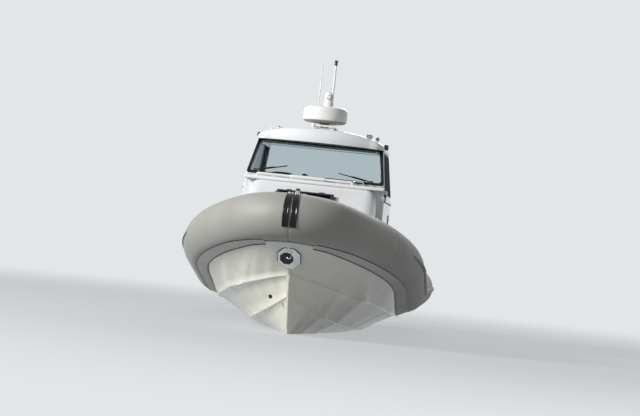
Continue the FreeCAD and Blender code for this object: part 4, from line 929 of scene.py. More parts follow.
    def inside(self, node: bpy.types.Object) -> Shape:
        """The solid hull's wells, top and transom, without its outside.

        Args:
            node: The solid hull.

        Returns:
            The shape.
        """
        shape = bmesh.new()
        shape.from_mesh(node.data)
        bmesh.ops.remove_doubles(shape, verts=shape.verts, dist=1e-5)
        shape.normal_update()
        level = 0.995
        outer = [face for face in shape.faces if max(abs(face.normal.x), abs(face.normal.y)) <= level
            and face.normal.z <= 0.9]
        bmesh.ops.delete(shape, geom=outer, context="FACES")
        return shape

    def topside(self, distance: float, down: float, out: float) -> Vector:
        """A point on the port topside below the rim.

        Args:
            distance: The place along the rim.
            down: How far below the rim, along the panel.
            out: How far proud of the panel.

        Returns:
            The point.
        """
        rows = self.rows()
        index = max(k for k in range(len(rows) - 1) if rows[k][0] <= distance + 1e-6)
        share = (distance - rows[index][0]) / (rows[index + 1][0] - rows[index][0])
        drawn = [self.section(row) for row in rows]
        four = [drawn[max(index - 1, 0)], drawn[index], drawn[index + 1],
            drawn[min(index + 2, len(drawn) - 1)]]
        chine = self.between(*[line[-2] for line in four], min(share, 1))
        rim = self.sheer.rim(distance)
        fall = (chine - rim).normalized()
        ahead = (self.sheer.rim(distance + 0.02) - rim).normalized()
        normal = fall.cross(ahead).normalized()
        if normal.dot(Vector((1, -0.2, 0))) < 0:
            normal.negate()
        return rim + fall * down + normal * out

    def lip(self) -> Shape:
        """The white moulding round the bow, just under the tube.

        Returns:
            The shape.
        """
        profile = [(0.004, -0.002), (0.004, 0.01), (0.008, 0.015), (0.02, 0.016), (0.026, 0.012),
            (0.03, 0), (0.03, -0.002)]
        start, end = self.sheer.turned(1.2), self.sheer.turned(self.skirt_turn + 3)
        rings = [[self.topside(distance, down, out) for down, out in profile]
            for distance in steps(start, end, 40)]
        rings.insert(0, [Vector((0, point.y - 0.001, point.z)) for point in rings[0]])
        return drape(rings, closed=True, capped=True)

    def skirt(self) -> Shape:
        """The fabric skirt that closes the gap between the port tube and the hull.

        Returns:
            The shape.
        """
        start, end = self.sheer.turned(self.skirt_turn), self.sheer.station(self.skirt_end)
        tube = self.sheer.tube
        rings = []
        for distance in steps(start, end, 120):
            open_ = min(1, (distance - start) / self.skirt_opening)
            top = -86 + 12 * open_
            turned_in = ((0, 0), (0.5, 0.003), (2.5, 0.004), (5, 0.0042))
            upper = [self.sheer.around(distance, top - fall, tube + lift) for fall, lift in turned_in]
            foot = self.topside(distance, 0.052 + 0.012 * open_, 0.008)
            fall = [upper[-1].lerp(foot, share) for share in (0.25, 0.5, 0.75)]
            hem = 0.06 + 0.012 * open_
            behind = ((hem, 0.006), (hem, -0.001), (0.02, -0.003))
            back = [self.topside(distance, down, out) for down, out in behind]
            back.append(self.sheer.around(distance, top - 5, tube - 0.002))
            rings.append(upper + fall + [foot] + back)
        return drape(rings, closed=True, capped=True)

    def rope_and_painted_shadow(self) -> Shape:
        """The black bolt rope along the skirt's lower edge, and a black rope along its upper edge that is
        painted shadow: the dark line where the skirt meets the tube.

        Returns:
            The shape.
        """
        start, end = self.sheer.turned(self.skirt_turn), self.sheer.station(self.skirt_end)
        low, high = [], []
        for distance in steps(start, end, 120):
            open_ = min(1, (distance - start) / self.skirt_opening)
            low.append(self.topside(distance, 0.062 + 0.012 * open_, 0.006))
            # The upper rope is painted shadow, the dark contact line under the tube.
            high.append(self.sheer.around(distance, -85.5 + 12 * open_, self.sheer.tube + 0.002))
        return together(bar(low, 0.0085, steps=8), bar(high, 0.006, steps=8))

    def drain(self) -> Shape:
        """The skin fitting low on the starboard bow."""
        profile = mm([(0, -12), (24, -12), (24, 4), (18, 6), (12, 3), (0, 3)])
        return lathe(profile, self.drain_place, self.drain_way, 24)

    def build(self, nodes: dict[str, bpy.types.Object]) -> None:
        """Builds the hull and what runs along it.

        Args:
            nodes: The solid nodes by name.
        """
        publish("hull_shell", together(self.skin(), self.inside(nodes["hull"])), Surface.GELCOAT,
            stands_for=["hull"], crease=26)
        publish("bow_drain", self.drain(), Surface.BLACK)
        for side in SIDES:
            publish_side(side, "hull_lip", self.lip(), Surface.CABIN, crease=50)
            publish_side(side, "tube_skirt", self.skirt(), Surface.FLAP, crease=50)
            # Its upper rope is painted shadow where the skirt meets the tube.
            publish_side(side, "skirt_rope_and_painted_shadow", self.rope_and_painted_shadow(), Surface.BLACK, crease=50)


@dataclass(frozen=True)
class SolidSkins:
    """Smooth-shaded skins for the solid nodes whose shape is already right."""

    nodes: dict[str, bpy.types.Object]
    bodies: dict[str, str]

    def skin(self, node: str, surface: Surface, crease: float = 30.0,
            soften: float = 0.0) -> bpy.types.Object:
        """Copies a node's mesh, joins its loose triangles, and rounds its edges.

        Args:
            node: The node's name.
            surface: The finish.
            crease: The crease angle in degrees.
            soften: The edge radius in metres, or 0.

        Returns:
            The piece that stands for the node.
        """
        shape = bmesh.new()
        shape.from_mesh(self.nodes[node].data)
        bmesh.ops.remove_doubles(shape, verts=shape.verts, dist=2e-5)
        bmesh.ops.dissolve_limit(shape, angle_limit=radians(0.6), verts=shape.verts, edges=shape.edges)
        piece = publish(node + "_skin", shape, surface, self.bodies[node], [node], crease)
        if soften:
            rounding = piece.modifiers.new("rounding", "BEVEL")
            rounding.width = soften
            rounding.segments = 3
            rounding.limit_method = "ANGLE"
            rounding.angle_limit = radians(crease)
            rounding.harden_normals = True
        return piece


SKINS: dict[str, tuple[Surface, float, float]] = {
    # node: finish, crease angle, edge radius in metres
    "foredeck": (Surface.GRIP, 30, 0),
    "cabin_side_port": (Surface.CABIN, 30, 0.006),
    "cabin_side_starboard": (Surface.CABIN, 30, 0.006),
    "side_deck_port": (Surface.GRIP, 30, 0.006),
    "side_deck_starboard": (Surface.GRIP, 30, 0.006),
    "bulkhead_front": (Surface.CABIN, 30, 0.004),
    "sole": (Surface.GRIP, 30, 0),
    "transom_board": (Surface.GELCOAT, 30, 0.012),
    "coaming_port": (Surface.GELCOAT, 30, 0.012),
    "coaming_starboard": (Surface.GELCOAT, 30, 0.012),
    "engine_block": (Surface.IRON, 30, 0.02),
    "engine_box": (Surface.GELCOAT, 30, 0.02),
    "anchor_lid": (Surface.CABIN, 30, 0.008),
    "bow_eye": (Surface.STEEL, 40, 0),
    "dashboard": (Surface.BLACK, 30, 0.02),
    "helm_shaft": (Surface.STEEL, 40, 0),
    "seat_plinth": (Surface.ABS, 30, 0.02),
    "mast_base": (Surface.CABIN, 30, 0.003),
    "roof_rail_port": (Surface.STEEL, 40, 0),
    "roof_rail_starboard": (Surface.STEEL, 40, 0),
    "drive_bracket": (Surface.DRIVE, 30, 0.006),
    "steer_lug_upper": (Surface.DRIVE, 30, 0.003),
    "steer_lug_lower": (Surface.DRIVE, 30, 0.003),
    "steer_ring": (Surface.DRIVE, 30, 0.006),
    "drive_leg": (Surface.DRIVE, 30, 0.004),
}


# The fore hatch lies this steep on the coachroof.
HATCH_TURN = Matrix.Rotation(radians(31.93), 3, "X")


@dataclass(frozen=True)
class Foredeck:
    """What stands on the foredeck: the bow post, hatches, hinges and latches."""

    post_foot: Vector = Vector((0, -4.24, 1.249))
    post_radius: float = 0.024
    post_height: float = 0.43
    pin_half: float = 0.095
    slope: float = SHEER.slope
    stem_way: Vector = Vector((0, -0.62175, -0.78322))
    plate_length: float = 1.36

    @property
    def up(self) -> Vector:
        """The direction square to the sloping deck."""
        return Vector((0, sin(self.slope), cos(self.slope)))

    def post(self) -> Shape:
        """The bow post with its base flange, domed head and cross pin.

        Returns:
            The shape.
        """
        up, radius, height = self.up, self.post_radius, self.post_height
        bar_ = lathe([(0.052, 0), (0.052, 0.006), (0.046, 0.009), (radius + 0.004, 0.011), (radius, 0.018),
            (radius, height - 0.012), (radius - 0.004, height - 0.004), (radius - 0.012, height),
            (0, height + 0.001)], self.post_foot, up, 36)
        pin = self.post_foot + up * (height - 0.06)
        length = 2 * self.pin_half
        ends = [(0, 0), (0.011, 0), (0.0135, 0.004), (0.0135, 0.009), (0.01, 0.012),
            (0.01, length - 0.012), (0.0135, length - 0.009), (0.0135, length - 0.004), (0.011, length),
            (0, length)]
        return together(bar_, lathe(ends, pin - Vector((self.pin_half, 0, 0)), (1, 0, 0), 24))

    def post_cap(self) -> Shape:
        """The black cap on the bow post's head."""
        profile = mm([(0, -26), (25.5, -26), (26.5, -22), (26.5, -4), (23, 1), (12, 3), (0, 3.5)])
        return lathe(profile, self.post_foot + self.up * self.post_height, self.up, 32)

    def octagon(self, half: float, depth: float, lift: float, dish: float = 0.0,
            aside: float = 0.0) -> Shape:
        """An eight-sided plate on the stem, longer up the stem than it is wide.

        Args:
            half: Half its width.
            depth: Its thickness.
            lift: How far its middle stands out from the solid plate's.
            dish: How deep its face is sunk within a rim.
            aside: How far it lies to starboard.

        Returns:
            The shape.
        """
        low, high = box_corners("stem_plate")
        corner = 1 / cos(pi / 8)
        shape = bmesh.new()
        bmesh.ops.create_cone(shape, cap_ends=True, segments=8, radius1=half * corner,
            radius2=(half - 0.004) * corner, depth=depth)
        bmesh.ops.rotate(shape, matrix=Matrix.Rotation(pi / 8, 3, "Z"), verts=shape.verts)
        if dish:
            face = max(shape.faces, key=lambda each: each.calc_center_median().z)
            bmesh.ops.inset_region(shape, faces=[face], thickness=0.02, depth=0, use_even_offset=True)
            bmesh.ops.inset_region(shape, faces=[face], thickness=0.006, depth=-dish, use_even_offset=True)
        bmesh.ops.scale(shape, vec=(1, self.plate_length, 1), verts=shape.verts)
        turn = self.stem_way.to_track_quat("Z", "Y").to_matrix().to_4x4()
        place = (low + high) / 2 + self.stem_way * lift - Vector((aside, 0, 0))
        bmesh.ops.transform(shape, matrix=Matrix.Translation(place) @ turn, verts=shape.verts)
        return shape

    def hatch(self) -> tuple[Shape, Shape, Shape]:
        """The fore hatch: its smoked pane, its frame, and its two hinges and handle.

        Returns:
            The three shapes, in that order.
        """
        low, high = box_corners("fore_hatch")
        turn, middle = HATCH_TURN, (low + high) / 2
        width, length = high.x - low.x, hypot(high.y - low.y, high.z - low.z) - 0.008
        along, up = turn @ Vector((0, 1, 0)), turn @ Vector((0, 0, 1))
        frame = block((width, length - 0.014, 0.052), middle + along * 0.007 + up * 0.017, 0.009, 3, turn)
        pane = block((width - 0.07, length - 0.07, 0.02), middle + up * 0.036, 0.007, 3, turn)
        hinges = [middle + turn @ Vector((x, length / 2 - 0.02, 0.044)) for x in (-0.2, 0.2)]
        handle = middle + turn @ Vector((0, -length / 2 + 0.018, 0.044))
        fixings = [block((0.07, 0.05, 0.01), place, 0.004, 2, turn) for place in hinges]
        return pane, frame, together(*fixings, block((0.1, 0.026, 0.012), handle, 0.005, 2, turn))

    def lid_fittings(self) -> Shape:
        """The anchor lid's two hinges and its flush latch.

        Returns:
            The shape.
        """
        low, high = box_corners("anchor_lid")
        turn = Matrix.Rotation(-self.slope, 3, "X")
        parts = [block((0.055, 0.05, 0.008), (x, high.y - 0.034, low.z + 0.0325), 0.003, 2, turn)
            for x in (-0.13, 0.13)]
        rise = tan(self.slope) * (high.y - low.y - 0.07)
        foot = Vector((0, low.y + 0.055, low.z + 0.027 + rise))
        parts.append(lathe(mm([(26, 0), (26, 4), (21, 5), (19, 2), (0, 2)]), foot,
            turn @ Vector((0, 0, 1)), 28))
        return together(*parts)

    def build(self) -> None:
        """Builds the deck fittings."""
        publish("stem_plate_gasket", self.octagon(0.137, 0.004, -0.002), Surface.BLACK)
        publish("stem_plate_dished", self.octagon(0.131, 0.009, 0.0015, 0.0025), Surface.PLATE,
            stands_for=["stem_plate"], crease=30)
        publish("bow_post_steel", self.post(), Surface.STEEL, stands_for=["bow_post"], crease=40)
        publish("bow_post_cap", self.post_cap(), Surface.BLACK, crease=40)
        # A black sheet over the starboard half of the stem plate: painted reflection, the dark half of the
        # polished plate's mirror image.
        publish("stem_plate_painted_reflection", self.octagon(0.078, 0.004, 0.0025, aside=0.026), Surface.BAND, crease=30)
        pane, frame, fixings = self.hatch()
        publish("hatch_pane", pane, Surface.SMOKED, "fore_hatch", ["fore_hatch"])
        publish("hatch_frame", frame, Surface.BLACK, "fore_hatch")
        publish("hatch_fixings", fixings, Surface.BLACK, "fore_hatch")
        publish("anchor_lid_fittings", self.lid_fittings(), Surface.STEEL, "anchor_lid")


@dataclass(frozen=True)
class Coachroof:
    """The moulding that rises from the foredeck to the windscreen, and the ledge along its top."""

    front: float = -3.12
    cowl: float = -1.98
    back: float = -1.8805
    half: float = 0.83
    front_z: float = 1.0816
    cowl_z: float = 1.794
    shoulder: float = 0.16
    sheer: Sheer = SHEER
    deck_drop: float = 0.02

    def deck(self, y: float) -> float:
        """The foredeck's height at a station."""
        nose, slope = self.sheer, self.sheer.slope
        return nose.nose_z - (y - nose.nose_y) * tan(slope) - self.deck_drop / cos(slope) + 0.001

    def section(self, y: float, half: float, top: float) -> Ring:
        """One section, from the port foot over the top to the starboard foot.

        Args:
            y: Its station.
            half: Its half-width at the foot.
            top: The height of its flat top.

        Returns:
            The points.
        """
        foot = self.deck(y) - 0.004
        rise = max(0.002, top - foot)
        radius = min(self.shoulder, 0.9 * rise)
        lean = 0.035 * rise
        ring = [Vector((half - lean * share, y, foot + (rise - radius) * share))
            for share in steps(0, 1, 6)]
        inner = half - lean - radius
        ring += [Vector((inner + radius * cos(a), y, top - radius + radius * sin(a)))
            for a in steps(0, pi / 2, 11)[1:]]
        ring += [Vector((inner * (1 - share), y, top)) for share in steps(0, 1, 8)[1:]]
        return ring + [Vector((-point.x, y, point.z)) for point in reversed(ring[:-1])]

    def shell(self) -> Shape:
        """The moulding's outside.

        Returns:
            The shape.
        """
        rings = [self.section(self.front, self.half * 0.56, self.deck(self.front))]
        for along in [0, 0.004, 0.012, 0.025] + steps(0.045, 1, 34):
            fill = 1 - (1 - min(1, along / 0.75)) ** 4
            half = self.half * (0.58 + 0.42 * fill ** 0.7)
            lip = 0.03 * (1 - min(1, along / 0.02)) ** 2
            top = self.front_z + (self.cowl_z - self.front_z) * along - lip
            rings.append(self.section(self.front + (self.cowl - self.front) * along, half, top))
        flat = ((self.cowl + 0.006, 0.002), (self.cowl + 0.02, 0.003), (self.back, 0.005))
        return drape(rings + [self.section(y, self.half, self.cowl_z + lift) for y, lift in flat])

    def ledge(self) -> Shape:
        """The rolled ledge that the windscreen stands on."""
        return block((1.735, 0.122, 0.044), (0, -1.943, 1.8155), 0.0145, 4)

    def hatch_seat(self) -> tuple[Shape, Shape]:
        """A black sheet painted as the shade seen under the open fore hatch, and the black gasket that it
        closes on.

        Returns:
            Both shapes, in that order.
        """
        low, high = box_corners("fore_hatch")
        width, middle, turn = high.x - low.x, (low + high) / 2, HATCH_TURN
        # The black sheet is painted shade: the dark inside of the hatch's opening.
        painted_shade = block((width - 0.08, 0.46, 0.006), middle - turn @ Vector((0, 0, 0.0105)), 0.001, 1, turn)
        gasket = block((width + 0.05, 0.66, 0.007), middle + turn @ Vector((0, -0.012, -0.013)), 0.002, 1,
            turn)
        return painted_shade, gasket

    def locker(self) -> Shape:
        """The flush access panel in the port shoulder, with its raised rim.

        Returns:
            The shape.
        """
        turn, middle = Matrix.Rotation(radians(2), 3, "Y"), Vector((0.8135, -2.13, 1.36))
        rim = ((-0.12, -0.1), (0.12, -0.1), (0.12, 0.1), (-0.12, 0.1))
        corners = [middle + turn @ Vector((0, y, z)) for y, z in rim]
        start = corners[0].lerp(corners[1], 0.5)
        return bar([start] + corners[1:] + corners[:1] + [start], 0.0065, 0.025, 8)

    def build(self) -> None:
        """Builds the coachroof."""
        shell = publish("coachroof_moulding", self.shell(), Surface.CABIN, stands_for=["coachroof"],
            crease=42)
        wall = shell.modifiers.new("wall", "SOLIDIFY")
        wall.thickness = 0.02
        wall.offset = -1.0
        publish("windscreen_ledge", self.ledge(), Surface.CABIN, crease=60)
        painted_shade, gasket = self.hatch_seat()
        publish("hatch_painted_shade", painted_shade, Surface.BLACK)
        publish("hatch_gasket", gasket, Surface.BLACK)
        publish("locker_rim", self.locker(), Surface.CABIN, crease=50)


@dataclass(frozen=True)
class Roof:
    """The wheelhouse roof: a crowned moulding with rounded corners and a brow over the windscreen."""

    front: float = -1.7
    bulge: float = 0.15
    back: float = -0.02
    half_width: float = 0.8
    base: float = 2.3064
    edge: float = 0.078
    crown: float = 0.19
    corner: float = 0.17

    def outline(self, inset: float) -> Ring:
        """The roof's plan, anticlockwise from the middle of its back edge.

        Args:
            inset: How far inside the outer edge.

        Returns:
            The points, at height 0.
        """
        half, back, corner = self.half_width - inset, self.back - inset, max(0.02, self.corner - inset)
        points = [Vector((half * k / 12, back, 0)) for k in range(0, 11)]
        points += [Vector((half - corner * 0.5 * (1 - sin(a)), back - corner * 0.5 * (1 - cos(a)), 0))
            for a in steps(0, pi / 2, 6)]
        front_side = self.front + inset + corner
        points += [Vector((half, y, 0)) for y in steps(back - corner, front_side, 16)]
        points += [Vector((half - corner * (1 - cos(a)), front_side - corner * sin(a), 0))
            for a in steps(0.12, pi / 2 - 0.12, 7)]
        inner = half - corner
        points += [Vector((x, self.front + inset - self.bulge * (1 - (x / inner) ** 2), 0))
            for x in steps(inner, 0, 16)]
        return points + [Vector((-point.x, point.y, 0)) for point in reversed(points[1:-1])]

    def top(self, x: float) -> float:
        """The crown's height at a distance from the centreline."""
        return self.crown - (self.crown - self.edge) * min(1, abs(x) / (self.half_width - 0.02)) ** 2.7

    def shell(self) -> Shape:
        """The moulding: lower edge, rounded brow, crown and underside.

        Returns:
            The shape.
        """
        rings = []
        for inset, share in ((0.06, -1), (0.02, -1), (0.006, 0.05), (0, 0.2), (0, 0.45), (0.006, 0.68),
                (0.02, 0.85), (0.045, 0.95), (0.09, 0.99), (0.16, 1), (0.26, 1), (0.38, 1), (0.5, 1),
                (0.62, 1), (0.72, 1), (0.78, 1)):
            ring = []
            for point in self.outline(inset):
                height = 0.0 if share < 0 else self.top(point.x) * share
                ring.append(Vector((point.x, point.y, self.base + height)))
            rings.append(ring)
        shape = drape(rings, closed=True)
        bmesh.ops.holes_fill(shape, edges=shape.edges)
        return shape

    def gutter(self) -> Shape:
        """The dark bedding line between the roof and the wheelhouse.

        Returns:
            The shape.
        """
        line = [Vector((point.x, point.y, self.base + 0.004)) for point in self.outline(0.012)]
        centre = Vector((0, -0.85, self.base))
        rings = []
        for low, out in ((-0.006, 0), (-0.006, 0.006), (0.006, 0.006), (0.006, 0), (-0.006, 0)):
            rings.append([point + (point - centre).normalized() * out + Vector((0, 0, low))
                for point in line])
        return drape(rings, closed=True)

    def build(self) -> None:
        """Builds the roof."""
        publish("roof_moulding", self.shell(), Surface.CABIN, stands_for=["cabin_roof"], crease=40)
        publish("roof_gutter", self.gutter(), Surface.BLACK, crease=40)


@dataclass(frozen=True)
class Windscreen:
    """The one-piece windscreen: clear pane, black frit, pillars, wipers and the rail at its foot."""

    foot_y: float = -1.88
    foot_z: float = 1.8384
    head_y: float = -1.49
    head_z: float = 2.306
    half_low: float = 0.855
    half_high: float = 0.788
    proud: float = 0.0445
    frit_side: float = 0.036
    frit_top: float = 0.012
    frit_foot: float = 0.034

    @property
    def rise(self) -> Vector:
        """The direction up the glass."""
        return Vector((0, self.head_y - self.foot_y, self.head_z - self.foot_z)).normalized()

    @property
    def out(self) -> Vector:
        """The direction out of the glass, forward and up."""
        return Vector((0, -self.rise.z, self.rise.y))

    @property
    def height(self) -> float:
        """The glass's length up its slope."""
        return hypot(self.head_y - self.foot_y, self.head_z - self.foot_z) - 0.03

    def spot(self, across: float, up: float, proud: float) -> Vector:
        """A point on the screen: across to port, up the slope, and out from the wheelhouse's front."""
        return Vector((across, self.foot_y, self.foot_z)) + self.rise * up + self.out * proud

    def outline(self, side: float, top: float, foot: float, corner: float, proud: float) -> Ring:
        """The screen's outline, moved in by a border, with rounded corners.

        Args:
            side: The border at the sides.
            top: The border at the head.
            foot: The border at the foot.
            corner: The corner radius.
            proud: How far out the outline lies.

        Returns:
            The points.
        """
        low, high = foot, self.height - top
        ring = []
        for sign_x, up, start in ((1, low, -90), (1, high, 0), (-1, high, 90), (-1, low, 180)):
            half = self.half_low + (self.half_high - self.half_low) * up / self.height - side
            centre_x = sign_x * (half - corner)
            centre_up = up + corner if up == low else up - corner
            for angle in steps(start, start + 90, 9):
                turn = radians(angle)
                ring.append(self.spot(centre_x + corner * cos(turn), centre_up + corner * sin(turn), proud))
        return ring

    def pane(self) -> Shape:
        """The clear glass."""
        faces = [self.outline(0.01, -0.014, 0.01, 0.03, self.proud - back) for back in (0.01, 0.003)]
        return drape(faces, closed=True, capped=True)

    def frit(self) -> Shape:
        """The black band printed round the glass, with its bedding behind.

        Returns:
            The shape.
        """
        sizes = (self.frit_side, self.frit_top, self.frit_foot, 0.045)
        edge = (0.003, -0.022, 0.003, 0.032)
        borders = ((edge, 0.016), (edge, 0.001), (sizes, 0.0005), (sizes, 0.0145))
        loops = [self.outline(*border, self.proud - back) for border, back in borders]
        return drape(loops + [loops[0]], closed=True)

    def frame(self) -> Shape:
        """The white moulded surround with its two pillars, which the glass is bonded to.

        Returns:
            The shape.
        """
        face, shoulder = self.proud - 0.014, self.proud - 0.022
        borders = ((0, -0.024, 0, 0.012, 0), (0, -0.024, 0, 0.03, shoulder),
            (0.003, -0.02, 0.003, 0.03, face), (0.036, 0.012, 0.034, 0.04, face - 0.0005),
            (0.042, 0.018, 0.04, 0.04, shoulder), (0.044, 0.02, 0.042, 0.04, 0))
        loops = [self.outline(*border) for border in borders]
        return drape(loops + [loops[0]], closed=True)

    def wiper(self, pivot: tuple[float, float], tip: tuple[float, float]) -> tuple[Shape, Shape]:
        """One wiper: its arm and boss, and its blade.

        Args:
            pivot: Across and up of its boss.
            tip: Across and up of the blade's far end.

        Returns:
            The arm and the blade.
        """
        lift = self.proud + 0.004
        root = self.spot(*pivot, lift)
        start, end = self.spot(*pivot, lift + 0.022), self.spot(*tip, lift + 0.012)
        profile = mm([(24, 0), (24, 12), (18, 20), (16, 34), (10, 38), (0, 38)])
        boss = lathe(profile, root, self.out, 24)
        turn = (end - start).normalized().to_track_quat("Y", "Z").to_matrix()
        middle = start.lerp(end, 0.62)
        knee = start.lerp(middle, 0.5) + self.out * 0.006
        rod = bar([start, knee, middle + self.out * 0.004], 0.0075, 0.02)
        arm = together(boss, rod, block((0.014, 0.05, 0.01), middle, 0.003, 2, turn))
        length, spot = 0.88 * (end - start).length, middle.lerp(end, 0.05)
        carrier = block((0.009, length, 0.007), spot - self.out * 0.004, 0.002, 2, turn)
        edge = block((0.003, length, 0.012), spot - self.out * 0.0105, 0.001, 1, turn)
        return arm, together(carrier, edge)

    def foot_rail(self) -> Shape:
        """The coated handrail along the foot of the glass, with its feet and its moulded grip.

        Returns:
            The shape.
        """
        y, z, lift = -1.974, 1.838, 0.027
        line = [(-0.71, y, z - 0.002), (-0.71, y, z + lift), (0.47, y, z + lift), (0.47, y, z - 0.002)]
        shapes = [bar(line, 0.016, 0.02, 14)]
        for x in (-0.5, 0.3):
            shapes.append(lathe([(0.02, -0.008), (0.02, -0.002), (0.009, 0.002), (0.009, lift)], (x, y, z),
                (0, 0, 1), 20))
        grip = mm([(16, 0), (22, 6), (23.5, 20), (23.5, 420), (22, 434), (16, 440)])
        shapes.append(lathe(grip, (-0.3, y, z + lift), (1, 0, 0), 24))
        return together(*shapes)

    def fairlead(self) -> Shape:
        """The polished loop fitting at the port end of the cowl.

        Returns:
            The shape.
        """
        loop = bar([(0.482, -1.93, 1.836), (0.482, -1.935, 1.884), (0.602, -1.935, 1.884),
            (0.602, -1.93, 1.836)], 0.01, 0.026, 12)
        feet = [lathe(mm([(22, 0), (22, 4), (12, 8)]), (x, -1.93, 1.8285), (0, 0, 1), 20)
            for x in (0.482, 0.602)]
        return together(loop, *feet)

    def build(self) -> None:
        """Builds the windscreen."""
        publish("windscreen_pane", self.pane(), Surface.CLEAR, stands_for=["windscreen_glass"], crease=30)
        publish("windscreen_frit", self.frit(), Surface.BAND, crease=30)
        publish("windscreen_surround", self.frame(), Surface.CABIN, stands_for=["windscreen_frame"],
            crease=40)
        for name, pivot, tip in (("starboard", (-0.75, 0.026), (-0.39, 0.15)),
                ("port", (0.7, 0.012), (0.31, 0.117))):
            arm, blade = self.wiper(pivot, tip)
            publish("wiper_arm_" + name, arm, Surface.BLACK)
            publish("wiper_blade_" + name, blade, Surface.BLACK)
        publish("cowl_rail", self.foot_rail(), Surface.ABS, crease=40)
        publish("cowl_fairlead", self.fairlead(), Surface.STEEL, crease=40)


@dataclass(frozen=True)
class CabinSides:
    """What is fixed to the wheelhouse's sides: glass, moulding, lights, rails and vents."""

    belt_z: float = 1.695
    belt_x: float = 0.875
    head_x: float = 0.790
    head_z: float = 2.306

    def wall_x(self, height: float) -> float:
        """The wall's distance from the centreline at a height.

        Args:
            height: The height.

        Returns:
            The distance.
        """
        if height < self.belt_z:
            return self.belt_x
        lean = self.head_x - self.belt_x
        return self.belt_x + lean * (height - self.belt_z) / (self.head_z - self.belt_z)

    def on_wall(self, y: float, height: float, out: float) -> Vector:
        """A point on the port wall, or proud of it."""
        return Vector((self.wall_x(height) + out, y, height))

    def glass(self, border: float, low: float, high: float) -> Shape:
        """A pane shape over the side window, with rounded corners.

        Args:
            border: How far inside the glass's edge.
            low: How far its inner face stands off the wall.
            high: How far its outer face does.

        Returns:
            The shape.
        """
        corners = [(-1.755 + border, 1.77 + border), (-0.115 - border, 1.77 + border),
            (-0.265 - border, 2.28 - border), (-1.375 + border, 2.28 - border)]
        rings = []
        for out in (low, high):
            ring = []
            for before, here, after in zip(corners[-1:] + corners[:-1], corners, corners[1:] + corners[:1]):
                point = Vector((here[0], here[1]))
                into = (Vector(before) - point).normalized() * 0.05
                away = (Vector(after) - point).normalized() * 0.05
                for t in steps(0, 1, 7):
                    spot = (point + into).lerp(point, t).lerp(point.lerp(point + away, t), t)
                    ring.append(self.on_wall(spot.x, spot.y, out))
            rings.append(ring)
        return drape(rings, closed=True, capped=True)

    def moulding(self) -> Shape:
        """The half-round moulding along the belt of the wheelhouse.

        Returns:
            The shape.
        """
        profile = [(-0.012, 0), (-0.011, 0.006), (-0.006, 0.01), (0, 0.011), (0.006, 0.01), (0.011, 0.006),
            (0.012, 0)]
        rings = [[Vector((self.belt_x + out, y, self.belt_z - 0.02 + up)) for up, out in profile]
            for y in steps(-1.86, -0.01, 12)]
        return drape(rings, closed=True, capped=True)

    def light_box(self) -> tuple[Shape, Shape]:
        """The white housing on the shoulder of the cowl, and the black oval in its face.

        Returns:
            Both shapes, in that order.
        """
        box = block((0.03, 0.1, 0.12), (0.885, -1.8, 1.745), 0.01, 3)
        oval = lathe(mm([(19, 0), (19, 4), (13, 5.5), (11, 3), (0, 3)]), (0.882, -1.8503, 1.745),
            (0, -1, 0), 28)
        return box, oval

    def side_lamp(self, reach: float) -> tuple[Shape, Shape]:
        """The navigation light on the roof's edge: its black shell and its lens.

        Args:
            reach: How far it stands out past the wall's head.

        Returns:
            The shell and the lens.
        """
        x = self.head_x + reach
        shell = block((0.05, 0.085, 0.066), (x, -1.43, 2.358), 0.008, 3)
        lens = block((0.03, 0.05, 0.042), (x + 0.016, -1.45, 2.358), 0.008, 3)
        return shell, lens

    def grab_rail(self) -> Shape:
        """The upright grab rail behind the after edge of the wall, with its two flanges.

        Returns:
            The shape.
        """
        high, low = Vector((0.85, 0, 1.66)), Vector((0.85, 0, 1.06))
        off = Vector((0, 0.055, 0))
        flange = mm([(18, 0), (18, 4), (15.5, 6), (12.5, 7)])
        return together(bar([high, high + off, low + off, low], 0.0125, 0.03, 12),
            lathe(flange, high, (0, 1, 0), 24), lathe(flange, low, (0, 1, 0), 24))

    def vent(self) -> Shape:
        """A louvred air intake low on the wheelhouse's side.

        Returns:
            The shape.
        """
        shapes = [block((0.008, 0.26, 0.13), (0.8755, -0.32, 1.47), 0.003, 2)]
        tilt = Matrix.Rotation(radians(28), 3, "Y")
        for k in range(5):
            shapes.append(block((0.01, 0.23, 0.01), (0.8795, -0.32, 1.425 + 0.0225 * k), 0.003, 2, tilt))
        return together(*shapes)

    def build(self) -> None:
        """Builds both sides."""
        for name, side in SIDES.items():
            port = side == PORT
            window, frit = self.glass(0, 0.0004, 0.008), self.glass(-0.012, 0.0002, 0.005)
            publish_side(name, "side_window", window, Surface.SMOKED, ["side_glass_" + name])
            publish_side(name, "side_frit", frit, Surface.BAND)
            publish_side(name, "belt_moulding", self.moulding(), Surface.BLACK)
            if port:
                box, oval = self.light_box()
                publish_side(name, "cowl_box", box, Surface.CABIN)
                publish_side(name, "cowl_box_eye", oval, Surface.BLACK)
            shell, lens = self.side_lamp(0.022 if port else -0.004)
            publish_side(name, "side_lamp_shell", shell, Surface.BLACK)
            publish_side(name, "side_lamp_lens", lens, Surface.RED if port else Surface.GREEN)
            publish_side(name, "grab_rail", self.grab_rail(), Surface.STEEL)
            publish_side(name, "cabin_vent", self.vent(), Surface.BLACK)


